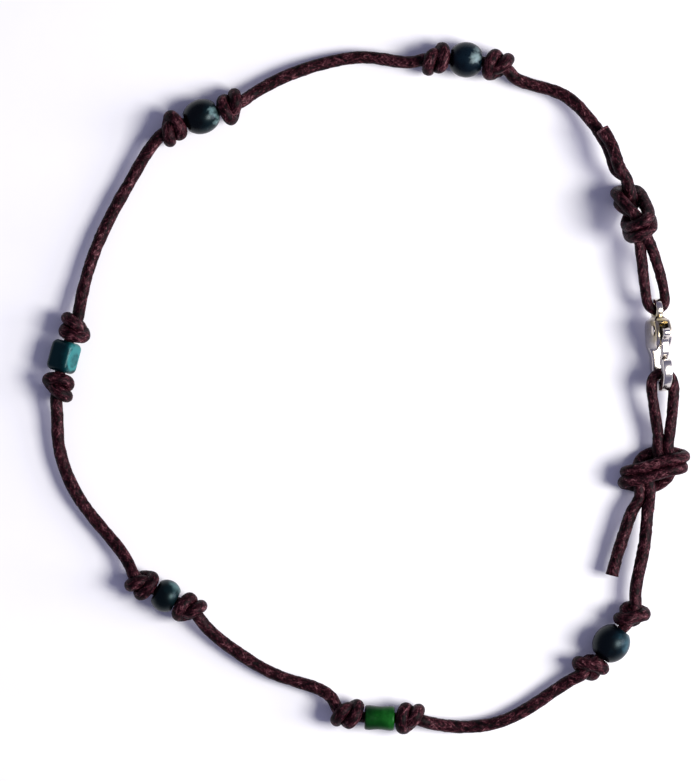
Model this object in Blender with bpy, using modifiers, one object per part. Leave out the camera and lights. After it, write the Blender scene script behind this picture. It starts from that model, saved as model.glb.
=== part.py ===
# Beaded anklet of knotted waxed cord, closed by a lobster clasp, lying on a surface.
# Metres, +Z up, origin at the bottom centre, the clasp on the +X side.
# One cord runs the whole way: free end, loop knot, loop through the clasp's eye, back through
# the loop knot, six beads each held between two overhand knots, the other loop knot, the loop
# that the clasp hooks, and the other free end.

import math

import bmesh
import bpy
import numpy as np
from mathutils import Matrix, Vector

MM = 0.001
MERGE_DISTANCE = 0.001 * MM  # points of a surface that lie closer than this are one
SHARP_ANGLE = 40.0  # degrees between two faces, from which their edge is shaded sharp

# Cord
CORD_DIAMETER = 1.48 * MM
KNOT_CORD_DIAMETER = 1.08 * MM  # pulled thin inside a knot
PAIR_CORD_DIAMETER = 1.06 * MM  # the same in the knots of the doubled cord
BORE_CORD_DIAMETER = 1.20 * MM  # through a bead, and through the clasp's eye
HOOKED_CORD_DIAMETER = 1.30 * MM
CUT_END_DIAMETER = 1.60 * MM  # a cut end flares a little
CORD_SIDES = 8
CORD_EASE = 0.7  # power of the gap between two chosen points, which sets how the curve shares its bend

# Knots
KNOT_SWING = 0.08 * MM  # how far the smooth cord swings below a knot's chosen points
KNOT_PITCH = 1.30 * MM  # from one strand's middle to the next where they lie side by side
PAIR_PITCH = 1.20 * MM  # the same in the knots of the doubled cord
KNOT_TILT_SHARE = 0.5  # of the cord's turn beside a bead, taken up inside the knot
CORD_IN_BEAD_SHARE = 0.85  # of the bead's length, over which the cord runs straight
PAIR_SPREAD = 1.02  # of the pitch, between the two strands of a doubled knot

# The rings of the cord's surface: the most that it turns, and the furthest, from one to the next
RING_TURN = 30.0  # degrees
RING_STEP = 3.6 * MM
FINE_STEP = 0.05 * MM  # of the curve that the rings are picked from

# Beads
BORE_CLEARANCE = 0.14 * MM  # all round the cord
BEAD_TO_KNOT_GAP = 0.12 * MM
BEAD_SIDES = 16
BEAD_ARC_STEPS = 8  # of a round bead's side, from one end face to the other
TUBE_RIM = 0.28 * MM  # rounded rim of the tube bead
TUBE_WAIST = 0.12 * MM  # how much slimmer the tube bead is at its middle
TUBE_SHOULDER_SHARE = 0.6  # of the waist, halfway from the middle to the end
CUBE_BEAD_ROLL = 31.0  # degrees
CUBE_BEAD_ROUND = 0.75 * MM
CUBE_BEAD_ROUND_STEPS = 3

# Clasp, in its own frame: X from the spine to the lever, Y from the hook to the eye
CLASP_THICKNESS = 2.0 * MM
EYE_Y = 4.2 * MM
EYE_RADIUS = 1.3 * MM
EYE_HOLE_RADIUS = 0.76 * MM
EYE_THICKNESS = 0.8 * MM
HEAD_Y = 1.5 * MM
HEAD_RADIUS = 2.2 * MM
CHEEK_HALF_LENGTH = 1.3 * MM  # of the flat sides of the head
HOOK_Y = -2.8 * MM
HOOK_RADIUS = 2.65 * MM
HOOK_WIDTH = 1.25 * MM
HOOK_THICKNESS = 1.1 * MM
HOOK_TIP_ANGLE = 14.0  # degrees above the hook's middle, where its free tip ends
SPINE_INNER_ANGLE = 240.0  # degrees round the head, where the spine's inner edge meets it
SPINE_OUTER_ANGLE = 190.0
CLASP_EDGE_ROUND = 0.28 * MM
CLASP_ARC_STEP = 15.0  # degrees between the outline's points
SLOT_WIDTH = 1.12 * MM
SLOT_BACK_X = -0.35 * MM
SLOT_FROM_Y = -1.3 * MM
SLOT_TO_Y = 2.75 * MM

# Lever and the rivet that it turns on
PIVOT_X = 1.05 * MM
PIVOT_Y = 1.75 * MM
RIVET_RADIUS = 0.34 * MM
RIVET_HEAD_RADIUS = 0.62 * MM
RIVET_HEAD_HEIGHT = 0.18 * MM
RIVET_CROWN_SHARE = 0.7  # of its head's radius, for the flat top
RIVET_RIM_SHARE = 0.4  # of its head's height, for the upright rim
RIVET_SIDES = 16
RIVET_CLEARANCE = 0.06 * MM  # in the body's and the lever's holes and under the rivet's heads
LEVER_THICKNESS = 0.86 * MM
LEVER_EYE_RADIUS = 0.78 * MM
LEVER_EDGE_ROUND = 0.12 * MM
LEVER_STEP = 0.35 * MM  # between the points of its outline

# Lever's outline from the right of its eye round the thumb tab and down to its end, which closes
# against the inside of the hook's tip, then up its inner side to the left of the eye.
# columns: x, y in the clasp's frame
LEVER_OUTLINE = [
    (2.35 * MM, 2.00 * MM),
    (3.00 * MM, 1.85 * MM),
    (3.30 * MM, 1.45 * MM),
    (3.05 * MM, 1.00 * MM),
    (2.45 * MM, 0.65 * MM),
    (2.20 * MM, 0.00 * MM),
    (2.15 * MM, -0.80 * MM),
    (1.80 * MM, -1.42 * MM),
    (1.28 * MM, -1.85 * MM),
    (1.12 * MM, -2.25 * MM),
    (0.85 * MM, -2.40 * MM),
    (0.62 * MM, -2.20 * MM),
    (0.75 * MM, -1.55 * MM),
    (1.25 * MM, -0.85 * MM),
    (1.30 * MM, 0.00 * MM),
    (0.85 * MM, 0.75 * MM),
]
LEVER_EYE_FROM = 30.0  # degrees round the pivot, where the outline leaves its eye and comes back
LEVER_EYE_TO = 205.0

# Where the clasp lies
CLASP_X = 34.25 * MM
CLASP_Y = 5.05 * MM
CLASP_HEIGHT = 2.75 * MM
CLASP_HEADING = 4.4  # degrees, of its long axis from +Y towards -X
CLASP_TILT = 74.0  # degrees, of its flat face from level

# Bends of the cord's two loops round the clasp's metal
EYE_BEND_RADIUS = 1.12 * MM
HOOK_BEND_RADIUS = 1.35 * MM
HOOK_SEAT_GAP = 0.24 * MM
BEND_ANGLES = (-90, -50, 0, 50, 90)  # degrees round the half turn

# Overhand knot: shares of the pitch from its middle to its exit, and the strand's other half
# is the same turned half a turn about the up axis.
# columns: along the cord, side, up
OVERHAND_KNOT = [
    (0.00, 0.00, 1.02),
    (-0.40, 0.60, 0.98),
    (-0.70, 1.10, 0.45),
    (-0.82, 1.06, -0.25),
    (-0.82, 0.40, -0.92),
    (-0.62, -0.35, -0.98),
    (-0.26, -0.72, -0.45),
    (0.16, -0.52, 0.00),
    (0.54, -0.15, 0.05),
    (1.05, 0.02, 0.03),
]

# Overhand knot tied in the doubled cord, flat as it lies, with the direction from one strand
# to the other.
# columns: along the cord, side, up, and the same three of that direction
DOUBLED_KNOT = [
    (0.00, 0.00, 1.15, 0.85, 0.50, 0.00),
    (-0.75, 1.25, 1.10, 0.90, 0.40, 0.00),
    (-1.30, 2.35, 0.55, 1.00, 0.20, 0.00),
    (-1.50, 2.35, -0.60, 1.00, 0.00, 0.00),
    (-1.45, 1.20, -1.20, 1.00, 0.00, 0.00),
    (-1.15, -0.05, -1.25, 0.85, 0.50, 0.00),
    (-0.40, -0.95, -0.80, 0.30, 0.95, 0.00),
    (0.70, -0.95, 0.00, 0.00, 1.00, 0.00),
    (1.90, -0.25, 0.00, 0.00, 1.00, 0.00),
    (2.70, 0.00, 0.00, 0.00, 1.00, 0.00),
]

# The tables' places are chosen for a loop of this width (X) and length (Y), and spread with it
LOOP_WIDTH = 76.2 * MM
LOOP_LENGTH = 81.7 * MM
CHOSEN_WIDTH = 76.2 * MM
CHOSEN_LENGTH = 81.7 * MM

# From the tables' zero to the middle of the whole anklet's bounds
MIDDLE_X = -0.36 * MM
MIDDLE_Y = -0.035 * MM

# Stations in the order of the cord from the eye's loop, each a bead between two knots.
# columns: name, x, y, heading of the cord through the bead in degrees, then for the knot before
# the bead and the one after it how far aside it sits, to the left of that heading, and its roll
# in degrees
STATIONS = [
    ("bead_blue_black_1", 11.5 * MM, 38.70 * MM, 175.0, (0.35 * MM, 225.0), (0.30 * MM, 160.0)),
    ("bead_blue_black_2", -19.7 * MM, 32.00 * MM, 201.0, (0.15 * MM, 215.0), (0.10 * MM, 135.0)),
    ("bead_teal_cube", -35.9 * MM, 3.70 * MM, 255.0, (0.35 * MM, 225.0), (0.30 * MM, 135.0)),
    ("bead_dark_teal", -23.9 * MM, -24.50 * MM, 333.0, (0.08 * MM, 235.0), (-0.15 * MM, 135.0)),
    ("bead_green_tube", 1.3 * MM, -38.90 * MM, 358.0, (0.40 * MM, 200.0), (0.10 * MM, 135.0)),
    ("bead_navy", 28.6 * MM, -30.10 * MM, 52.0, (0.25 * MM, 340.0), (0.10 * MM, 20.0)),
]

# Round, cube and tube beads.
# columns: name, length along the cord, width across it, radius of its flat end faces
BEAD_SIZES = {
    "bead_blue_black_1": (3.7 * MM, 4.2 * MM, 1.10 * MM),
    "bead_blue_black_2": (4.0 * MM, 4.1 * MM, 1.05 * MM),
    "bead_teal_cube": (3.7 * MM, 2.95 * MM, 1.00 * MM),
    "bead_dark_teal": (2.7 * MM, 3.9 * MM, 1.30 * MM),
    "bead_green_tube": (3.5 * MM, 3.0 * MM, 1.22 * MM),
    "bead_navy": (4.1 * MM, 4.35 * MM, 1.10 * MM),
}

# Loop knots, with x pointing from the loop to the free end.
# columns: x, y, height of the knot's middle, heading and roll in degrees, how drawn out the
# knot is along the cord, and the twist in degrees of its two strands where they leave to the loop
LOOP_KNOTS = {
    "eye_loop": (31.4 * MM, 20.75 * MM, 3.75 * MM, 106.0, 92.0, 1.25, 80.0),
    "hook_loop": (33.65 * MM, -9.60 * MM, 2.10 * MM, 252.0, 0.0, 1.12, 0.0),
}

# The cord between its knots, as chosen points in the order of the route. Each numbered stretch
# leads to the station of that number, and the last one to the hook's loop.
# columns: stretch, x, y, height of the cord's middle
ROUTE = [
    ("eye_tail", 27.45 * MM, 30.40 * MM, 4.30 * MM),
    ("eye_tail", 28.30 * MM, 29.00 * MM, 4.55 * MM),
    ("eye_tail", 28.95 * MM, 27.40 * MM, 4.75 * MM),
    ("eye_tail", 29.50 * MM, 25.80 * MM, 4.80 * MM),
    ("stretch_1", 29.25 * MM, 25.60 * MM, 3.15 * MM),
    ("stretch_1", 28.60 * MM, 27.30 * MM, 3.05 * MM),
    ("stretch_1", 27.40 * MM, 29.80 * MM, 2.65 * MM),
    ("stretch_1", 25.70 * MM, 32.10 * MM, 2.30 * MM),
    ("stretch_1", 22.50 * MM, 34.80 * MM, 1.75 * MM),
    ("stretch_1", 17.20 * MM, 36.65 * MM, 1.75 * MM),
    ("stretch_2", 5.10 * MM, 38.45 * MM, 1.75 * MM),
    ("stretch_2", 0.20 * MM, 39.00 * MM, 1.35 * MM),
    ("stretch_2", -4.50 * MM, 38.50 * MM, 1.30 * MM),
    ("stretch_2", -9.25 * MM, 37.00 * MM, 1.40 * MM),
    ("stretch_2", -14.00 * MM, 34.45 * MM, 1.75 * MM),
    ("stretch_3", -25.90 * MM, 28.10 * MM, 1.75 * MM),
    ("stretch_3", -28.10 * MM, 24.45 * MM, 1.40 * MM),
    ("stretch_3", -30.10 * MM, 20.90 * MM, 1.30 * MM),
    ("stretch_3", -32.50 * MM, 15.60 * MM, 1.35 * MM),
    ("stretch_3", -33.95 * MM, 10.20 * MM, 1.75 * MM),
    ("stretch_4", -36.75 * MM, -2.60 * MM, 1.75 * MM),
    ("stretch_4", -36.60 * MM, -6.40 * MM, 1.35 * MM),
    ("stretch_4", -35.50 * MM, -10.40 * MM, 1.30 * MM),
    ("stretch_4", -33.20 * MM, -14.40 * MM, 1.30 * MM),
    ("stretch_4", -28.30 * MM, -20.70 * MM, 1.75 * MM),
    ("stretch_5", -19.45 * MM, -27.85 * MM, 1.75 * MM),
    ("stretch_5", -14.90 * MM, -31.60 * MM, 1.35 * MM),
    ("stretch_5", -9.70 * MM, -34.30 * MM, 1.30 * MM),
    ("stretch_5", -4.30 * MM, -36.60 * MM, 1.75 * MM),
    ("stretch_6", 7.00 * MM, -39.45 * MM, 1.75 * MM),
    ("stretch_6", 12.00 * MM, -40.00 * MM, 1.30 * MM),
    ("stretch_6", 18.00 * MM, -38.30 * MM, 1.35 * MM),
    ("stretch_6", 23.90 * MM, -34.45 * MM, 1.75 * MM),
    ("stretch_7", 31.45 * MM, -24.60 * MM, 2.15 * MM),
    ("stretch_7", 32.25 * MM, -19.90 * MM, 2.40 * MM),
    ("stretch_7", 32.70 * MM, -16.80 * MM, 2.40 * MM),
    ("stretch_7", 32.92 * MM, -14.20 * MM, 2.45 * MM),
    ("hook_tail", 31.25 * MM, -14.20 * MM, 2.10 * MM),
    ("hook_tail", 30.30 * MM, -16.70 * MM, 2.10 * MM),
    ("hook_tail", 29.45 * MM, -19.30 * MM, 2.00 * MM),
    ("hook_tail", 28.70 * MM, -22.10 * MM, 1.90 * MM),
]

# Colour, metallic, roughness
CORD_LOOK = ((0.10, 0.030, 0.040), 0.0, 0.65)
CLASP_LOOK = ((0.82, 0.81, 0.78), 1.0, 0.18)
BEAD_LOOKS = {
    "bead_blue_black_1": ((0.006, 0.012, 0.022), 0.0, 0.08),
    "bead_blue_black_2": ((0.004, 0.010, 0.016), 0.0, 0.08),
    "bead_teal_cube": ((0.020, 0.180, 0.190), 0.0, 0.10),
    "bead_dark_teal": ((0.010, 0.030, 0.036), 0.0, 0.10),
    "bead_green_tube": ((0.010, 0.095, 0.015), 0.0, 0.08),
    "bead_navy": ((0.006, 0.018, 0.032), 0.0, 0.08),
}


def clear_scene():
    for item in list(bpy.data.objects):
        bpy.data.objects.remove(item, do_unlink=True)


def new_collection(name):
    group = bpy.data.collections.new(name)
    bpy.context.scene.collection.children.link(group)
    return group


def new_material(name, look):
    colour, metallic, roughness = look
    material = bpy.data.materials.new(name)
    material.use_nodes = True
    shader = material.node_tree.nodes["Principled BSDF"]
    shader.inputs["Base Color"].default_value = (*colour, 1.0)
    shader.inputs["Metallic"].default_value = metallic
    shader.inputs["Roughness"].default_value = roughness
    return material


def as_mesh(item):
    """Turns a curve, or an object with modifiers, into a plain closed mesh object."""
    graph = bpy.context.evaluated_depsgraph_get()
    mesh = bpy.data.meshes.new_from_object(item.evaluated_get(graph))
    name = item.name
    groups = list(item.users_collection)
    place = item.matrix_world.copy()
    bpy.data.objects.remove(item, do_unlink=True)
    work = bmesh.new()
    work.from_mesh(mesh)
    bmesh.ops.remove_doubles(work, verts=work.verts, dist=MERGE_DISTANCE)
    bmesh.ops.recalc_face_normals(work, faces=work.faces)
    work.to_mesh(mesh)
    work.free()
    solid = bpy.data.objects.new(name, mesh)
    solid.matrix_world = place
    for group in groups:
        group.objects.link(solid)
    return solid


def cut(target, cutter):
    difference = target.modifiers.new("cut_" + cutter.name, "BOOLEAN")
    difference.operation = "DIFFERENCE"
    difference.solver = "EXACT"
    difference.object = cutter


def as_cutter(item):
    item.hide_render = True
    item.display_type = "WIRE"


def smooth_round(item):
    item.data.shade_smooth()
    item.data.set_sharp_from_angle(angle=math.radians(SHARP_ANGLE))


def smooth_curve(rows, step):
    """Points on a natural cubic spline through the rows, about a step apart. What a row holds
    after its place runs straight from row to row."""
    rows = np.array(rows, dtype=float)
    leaps = np.linalg.norm(np.diff(rows[:, :3], axis=0), axis=1)
    spans = leaps**CORD_EASE
    count = len(rows)
    system = np.eye(count)
    known = np.zeros_like(rows)
    for i in range(1, count - 1):
        system[i, i - 1 : i + 2] = (spans[i - 1], 2 * (spans[i - 1] + spans[i]), spans[i])
        after = (rows[i + 1] - rows[i]) / spans[i]
        before = (rows[i] - rows[i - 1]) / spans[i - 1]
        known[i] = 6 * (after - before)
    bends = np.linalg.solve(system, known)
    points = []
    for i in range(count - 1):
        pieces = math.ceil(leaps[i] / step)
        for j in range(pieces):
            b = j / pieces
            a = 1 - b
            bend = ((a**3 - a) * bends[i] + (b**3 - b) * bends[i + 1]) * spans[i] ** 2 / 6
            bend[3:] = 0
            points.append(a * rows[i] + b * rows[i + 1] + bend)
    points.append(rows[-1])
    return np.array(points)


def pick_rings(points):
    """The points of a fine curve that carry a ring: close where it bends, far apart where it
    runs straight."""
    moves = np.diff(points[:, :3], axis=0)
    lengths = np.linalg.norm(moves, axis=1)
    along = moves / lengths[:, None]
    turns = np.degrees(np.arccos(np.clip((along[1:] * along[:-1]).sum(axis=1), -1, 1)))
    used = np.concatenate([[0], turns / RING_TURN]) + lengths / RING_STEP
    total = np.concatenate([[0], np.cumsum(used)])
    count = math.ceil(total[-1])
    places = np.linspace(0, total[-1], count + 1)
    return points[np.unique(np.searchsorted(total, places).clip(0, len(points) - 1))]


def both_halves(half, flips):
    """The whole strand from the half that ends at its exit."""
    second = np.array(half, dtype=float)
    first = second[:0:-1] * np.array(flips)
    return np.vstack([first, second])


def placed(x, y, z):
    """A point of the tables in the anklet's own frame."""
    across = LOOP_WIDTH / CHOSEN_WIDTH
    along = LOOP_LENGTH / CHOSEN_LENGTH
    return Vector(((x - MIDDLE_X) * across, (y - MIDDLE_Y) * along, z))


def frame_at(x, y, z, heading, roll):
    """Placing matrix whose X points along the heading, turned by the roll about it."""
    headed = Matrix.Rotation(math.radians(heading), 4, "Z")
    rolled = Matrix.Rotation(math.radians(roll), 4, "X")
    return Matrix.Translation(placed(x, y, z)) @ headed @ rolled


def moved(points, place):
    return np.array([place @ Vector(point) for point in points])


def overhand_knot(place):
    shape = both_halves(OVERHAND_KNOT, (-1, -1, 1)) * KNOT_PITCH
    return moved(shape, place)


def doubled_knot(name):
    """The two strands of a loop's knot, each from the loop to the free end."""
    *spot, drawn_out, twist = LOOP_KNOTS[name]
    place = frame_at(*spot)
    rows = both_halves(DOUBLED_KNOT, (-1, -1, 1, 1, 1, -1))
    middle = rows[:, :3] * np.array((drawn_out, 1, 1))
    along = np.gradient(middle, axis=0)
    along /= np.linalg.norm(along, axis=1)[:, None]
    across = rows[:, 3:]
    across = across - (across * along).sum(axis=1)[:, None] * along
    across /= np.linalg.norm(across, axis=1)[:, None]
    for row, share in ((0, 1.0), (1, 0.5)):
        across[row] = Matrix.Rotation(math.radians(twist * share), 3, "X") @ Vector(across[row])
    offset = across * PAIR_SPREAD / 2
    first = moved((middle + offset) * PAIR_PITCH, place)
    second = moved((middle - offset) * PAIR_PITCH, place)
    return first, second


def drop_below(points):
    """How far the cord through the points reaches below zero height."""
    return KNOT_CORD_DIAMETER / 2 + KNOT_SWING - min(point[2] for point in points)


def station_places(station):
    """Placing matrices of a station's bead and of the knots before and after it, on the surface."""
    name, x, y, heading, before, after = station
    length, width, _ = BEAD_SIZES[name]
    number = STATIONS.index(station) + 1
    bead = frame_at(x, y, 0, heading, 0)
    drop = cube_bead_drop(width) if name == "bead_teal_cube" else width / 2
    nearest = (stretch(f"stretch_{number}")[-1], stretch(f"stretch_{number + 1}")[0])
    knots = []
    for side, (aside, roll), point in zip((-1, 1), (before, after), nearest):
        place = bead @ Matrix.Translation((side * length, aside, 0))
        toward = place.inverted() @ point
        turn = math.atan2(side * toward.y, side * toward.x)
        tilted = Matrix.Rotation(turn * KNOT_TILT_SHARE, 4, "Z")
        rolled = Matrix.Rotation(math.radians(roll), 4, "X")
        loops = overhand_knot(tilted @ rolled)[2:-2]
        reach = KNOT_CORD_DIAMETER / 2 - min(side * point[0] for point in loops)
        out = length / 2 + BEAD_TO_KNOT_GAP + reach
        knots.append(bead @ Matrix.Translation((side * out, aside, 0)) @ tilted @ rolled)
        drop = max(drop, drop_below(overhand_knot(knots[-1])))
    lift = Matrix.Translation((0, 0, drop))
    return lift @ bead, lift @ knots[0], lift @ knots[1]


def cube_bead_drop(width):
    """From the rolled cube bead's middle down to its lowest rounded edge."""
    turn = math.radians(CUBE_BEAD_ROLL)
    flat = width / 2 - CUBE_BEAD_ROUND
    return (abs(math.sin(turn)) + abs(math.cos(turn))) * flat + CUBE_BEAD_ROUND


def clasp_place():
    upright = Matrix.Rotation(math.radians(CLASP_HEADING), 4, "Z")
    tilt = Matrix.Rotation(math.radians(-CLASP_TILT), 4, "Y")
    return Matrix.Translation(placed(CLASP_X, CLASP_Y, CLASP_HEIGHT)) @ upright @ tilt


def clasp_bend(seat_y, radius, direction):
    """Points of the cord's half turn through the clasp at seat_y, from its -Z side to its +Z side.
    The direction, 1 or -1 along the clasp's Y, is the side that its legs leave to."""
    place = clasp_place()
    points = []
    for degrees in BEND_ANGLES:
        turn = math.radians(degrees)
        y = seat_y + direction * radius * (1 - math.cos(turn))
        points.append(place @ Vector((0, y, radius * math.sin(turn))))
    return np.array(points)


def stretch(name):
    return [placed(x, y, z) for stretch_name, x, y, z in ROUTE if stretch_name == name]


def cord_rows():
    """Every chosen or worked-out point of the cord in order, with its diameter."""
    rows = []

    def add(points, diameter, first=None, last=None):
        diameters = [diameter] * len(points)
        diameters[0] = first or diameter
        diameters[-1] = last or diameter
        rows.extend((*point, size) for point, size in zip(points, diameters))

    seat = HOOK_Y - (HOOK_RADIUS - HOOK_WIDTH) + HOOK_SEAT_GAP + HOOKED_CORD_DIAMETER / 2
    eye_tail, eye_main = doubled_knot("eye_loop")
    hook_main, hook_tail = doubled_knot("hook_loop")

    add(stretch("eye_tail"), CORD_DIAMETER, first=CUT_END_DIAMETER)
    add(eye_tail[::-1], PAIR_CORD_DIAMETER)
    add(clasp_bend(EYE_Y, EYE_BEND_RADIUS, 1), BORE_CORD_DIAMETER)
    add(eye_main, PAIR_CORD_DIAMETER)
    add(stretch("stretch_1"), CORD_DIAMETER)
    for number, station in enumerate(STATIONS, start=1):
        bead, before, after = station_places(station)
        in_bead = BEAD_SIZES[station[0]][0] * CORD_IN_BEAD_SHARE / 2
        through = moved([(-in_bead, 0, 0), (in_bead, 0, 0)], bead)
        add(overhand_knot(before)[:-1], KNOT_CORD_DIAMETER)
        add(through, BORE_CORD_DIAMETER)
        add(overhand_knot(after)[1:], KNOT_CORD_DIAMETER)
        add(stretch(f"stretch_{number + 1}"), CORD_DIAMETER)
    add(hook_main[::-1], PAIR_CORD_DIAMETER)
    add(clasp_bend(seat, HOOK_BEND_RADIUS, -1), HOOKED_CORD_DIAMETER)
    add(hook_tail, PAIR_CORD_DIAMETER)
    add(stretch("hook_tail"), CORD_DIAMETER, last=CUT_END_DIAMETER)
    return rows


def make_cord(group):
    points = pick_rings(smooth_curve(cord_rows(), FINE_STEP))
    curve = bpy.data.curves.new("cord", "CURVE")
    curve.dimensions = "3D"
    curve.bevel_depth = 1.0
    curve.bevel_resolution = CORD_SIDES // 2 - 2
    curve.use_fill_caps = True
    line = curve.splines.new("POLY")
    line.points.add(len(points) - 1)
    for place, point in zip(line.points, points):
        place.co = (*point[:3], 1.0)
        place.radius = point[3] / 2
    line.use_smooth = True
    cord = bpy.data.objects.new("cord", curve)
    group.objects.link(cord)
    cord = as_mesh(cord)
    smooth_round(cord)
    cord.data.materials.append(new_material("waxed_cord", CORD_LOOK))
    return cord


def arc(x, y, radius, start, end):
    """Points of an arc in a flat outline, both ends included, the angles in degrees."""
    steps = max(1, round(abs(end - start) / CLASP_ARC_STEP))
    angles = np.radians(np.linspace(start, end, steps + 1))
    return [(x + radius * math.cos(a), y + radius * math.sin(a)) for a in angles]


def flat_plate(name, outlines, thickness, edge_round, group):
    """A plate with rounded edges, level about Z = 0, from a rim and any holes in it."""
    curve = bpy.data.curves.new(name, "CURVE")
    curve.dimensions = "2D"
    curve.fill_mode = "BOTH"
    curve.extrude = thickness / 2 - edge_round
    curve.bevel_depth = edge_round
    curve.bevel_resolution = 1
    curve.offset = -edge_round
    for outline in outlines:
        line = curve.splines.new("POLY")
        line.points.add(len(outline) - 1)
        for place, (x, y) in zip(line.points, outline):
            place.co = (x, y, 0, 1)
        line.use_cyclic_u = True
    plate = bpy.data.objects.new(name, curve)
    group.objects.link(plate)
    return as_mesh(plate)


def turned(name, profile, sides, group):
    """A solid turned about Z from a profile of radius and height, which closes itself unless it
    starts and ends on the axis."""
    points = [(radius, 0, height) for radius, height in profile]
    edges = [(i, i + 1) for i in range(len(points) - 1)]
    if profile[0][0] > 0:
        edges.append((len(points) - 1, 0))
    mesh = bpy.data.meshes.new(name)
    mesh.from_pydata(points, edges, [])
    solid = bpy.data.objects.new(name, mesh)
    group.objects.link(solid)
    screw = solid.modifiers.new("turn", "SCREW")
    screw.steps = sides
    screw.render_steps = sides
    screw.use_merge_vertices = True
    screw.merge_threshold = MERGE_DISTANCE
    return as_mesh(solid)


def claim(name, group):
    """Names the object just added and moves it to its collection."""
    item = bpy.context.object
    item.name = name
    for holder in list(item.users_collection):
        holder.objects.unlink(item)
    group.objects.link(item)
    return item


def block(name, low, high, group):
    bpy.ops.mesh.primitive_cube_add(size=1)
    item = claim(name, group)
    for vertex in item.data.vertices:
        vertex.co = [high[i] if vertex.co[i] > 0 else low[i] for i in range(3)]
    return item


def drill(name, radius, reach, sides, group):
    """A cylinder along Z for cutting a hole, long enough to reach each way."""
    bpy.ops.mesh.primitive_cylinder_add(vertices=sides, radius=radius, depth=2 * reach)
    item = claim(name, group)
    as_cutter(item)
    return item


def bead_bore():
    return BORE_CORD_DIAMETER / 2 + BORE_CLEARANCE


def round_profile(length, width, face_radius):
    """A round bead's section: an arc between two flat end faces, and the bore."""
    start = math.asin(face_radius / (width / 2))
    profile = [(bead_bore(), length / 2)]
    for i in range(BEAD_ARC_STEPS + 1):
        a = start + (math.pi - 2 * start) * i / BEAD_ARC_STEPS
        profile.append((width / 2 * math.sin(a), length / 2 * math.cos(a) / math.cos(start)))
    profile.append((bead_bore(), -length / 2))
    return profile


def tube_profile(length, width, face_radius):
    """The tube bead's section: rounded rims, a slightly slimmer middle, and the bore."""
    radius = width / 2
    half = [(bead_bore(), length / 2), (face_radius, length / 2)]
    half.append((radius, length / 2 - TUBE_RIM))
    half.append((radius - TUBE_WAIST * TUBE_SHOULDER_SHARE, length / 4))
    middle = [(radius - TUBE_WAIST, 0)]
    return half + middle + [(r, -h) for r, h in reversed(half)]


def cube_bead(name, length, width, group, helpers):
    corner = (width / 2, width / 2, length / 2)
    bead = block(name, [-value for value in corner], corner, group)
    rounding = bead.modifiers.new("round", "BEVEL")
    rounding.width = CUBE_BEAD_ROUND
    rounding.segments = CUBE_BEAD_ROUND_STEPS
    cut(bead, drill("teal_bore", bead_bore(), length, BEAD_SIDES, helpers))
    return as_mesh(bead)


def make_bead(station, group, helpers):
    name = station[0]
    length, width, face_radius = BEAD_SIZES[name]
    roll = 0.0
    if name == "bead_teal_cube":
        bead = cube_bead(name, length, width, group, helpers)
        roll = CUBE_BEAD_ROLL
    elif name == "bead_green_tube":
        bead = turned(name, tube_profile(length, width, face_radius), BEAD_SIDES, group)
    else:
        bead = turned(name, round_profile(length, width, face_radius), BEAD_SIDES, group)
    along_cord = Matrix.Rotation(math.radians(90), 4, "Y")
    rolled = Matrix.Rotation(math.radians(roll), 4, "X")
    bead.matrix_world = station_places(station)[0] @ rolled @ along_cord
    smooth_round(bead)
    bead.data.materials.append(new_material(name.replace("bead", "glass"), BEAD_LOOKS[name]))
    return bead


def clasp_outline():
    """The clasp's rim, anticlockwise: eye, head, spine, hook with its round tip, and back."""
    meet_y = (EYE_RADIUS**2 - HEAD_RADIUS**2 + HEAD_Y**2 - EYE_Y**2) / (2 * (HEAD_Y - EYE_Y))
    meet_x = math.sqrt(HEAD_RADIUS**2 - (meet_y - HEAD_Y) ** 2)
    head_angle = math.degrees(math.atan2(meet_y - HEAD_Y, meet_x))
    eye_angle = math.degrees(math.atan2(meet_y - EYE_Y, meet_x))
    bar_radius = HOOK_RADIUS - HOOK_WIDTH / 2
    tip = math.radians(HOOK_TIP_ANGLE)
    tip_x = bar_radius * math.cos(tip)
    tip_y = HOOK_Y + bar_radius * math.sin(tip)
    rim = arc(0, EYE_Y, EYE_RADIUS, eye_angle, 180 - eye_angle)
    rim += arc(0, HEAD_Y, HEAD_RADIUS, 180 - head_angle, SPINE_OUTER_ANGLE)[1:]
    rim += arc(0, HOOK_Y, HOOK_RADIUS, 180, 360 + HOOK_TIP_ANGLE)
    rim += arc(tip_x, tip_y, HOOK_WIDTH / 2, HOOK_TIP_ANGLE, HOOK_TIP_ANGLE + 180)[1:]
    rim += arc(0, HOOK_Y, HOOK_RADIUS - HOOK_WIDTH, 360 + HOOK_TIP_ANGLE, 180)[1:]
    rim += arc(0, HEAD_Y, HEAD_RADIUS, SPINE_INNER_ANGLE, 360 + head_angle)[:-1]
    return rim


def thin_ends(plate):
    """Thins the clasp's plate towards its hook and its eye, and leaves the head's cheeks flat."""
    hook_share = HOOK_THICKNESS / CLASP_THICKNESS
    eye_share = EYE_THICKNESS / CLASP_THICKNESS
    hook_top = HOOK_Y + HOOK_RADIUS / 2
    cheek_low = HEAD_Y - CHEEK_HALF_LENGTH
    cheek_high = HEAD_Y + CHEEK_HALF_LENGTH
    heights = (hook_top, cheek_low, cheek_high, EYE_Y - EYE_HOLE_RADIUS)
    work = bmesh.new()
    work.from_mesh(plate.data)
    for height in heights:
        everything = work.verts[:] + work.edges[:] + work.faces[:]
        bmesh.ops.bisect_plane(work, geom=everything, plane_co=(0, height, 0), plane_no=(0, 1, 0))
    for vertex in work.verts:
        vertex.co.z *= np.interp(vertex.co.y, heights, (hook_share, 1, 1, eye_share))
    work.to_mesh(plate.data)
    work.free()


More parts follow.
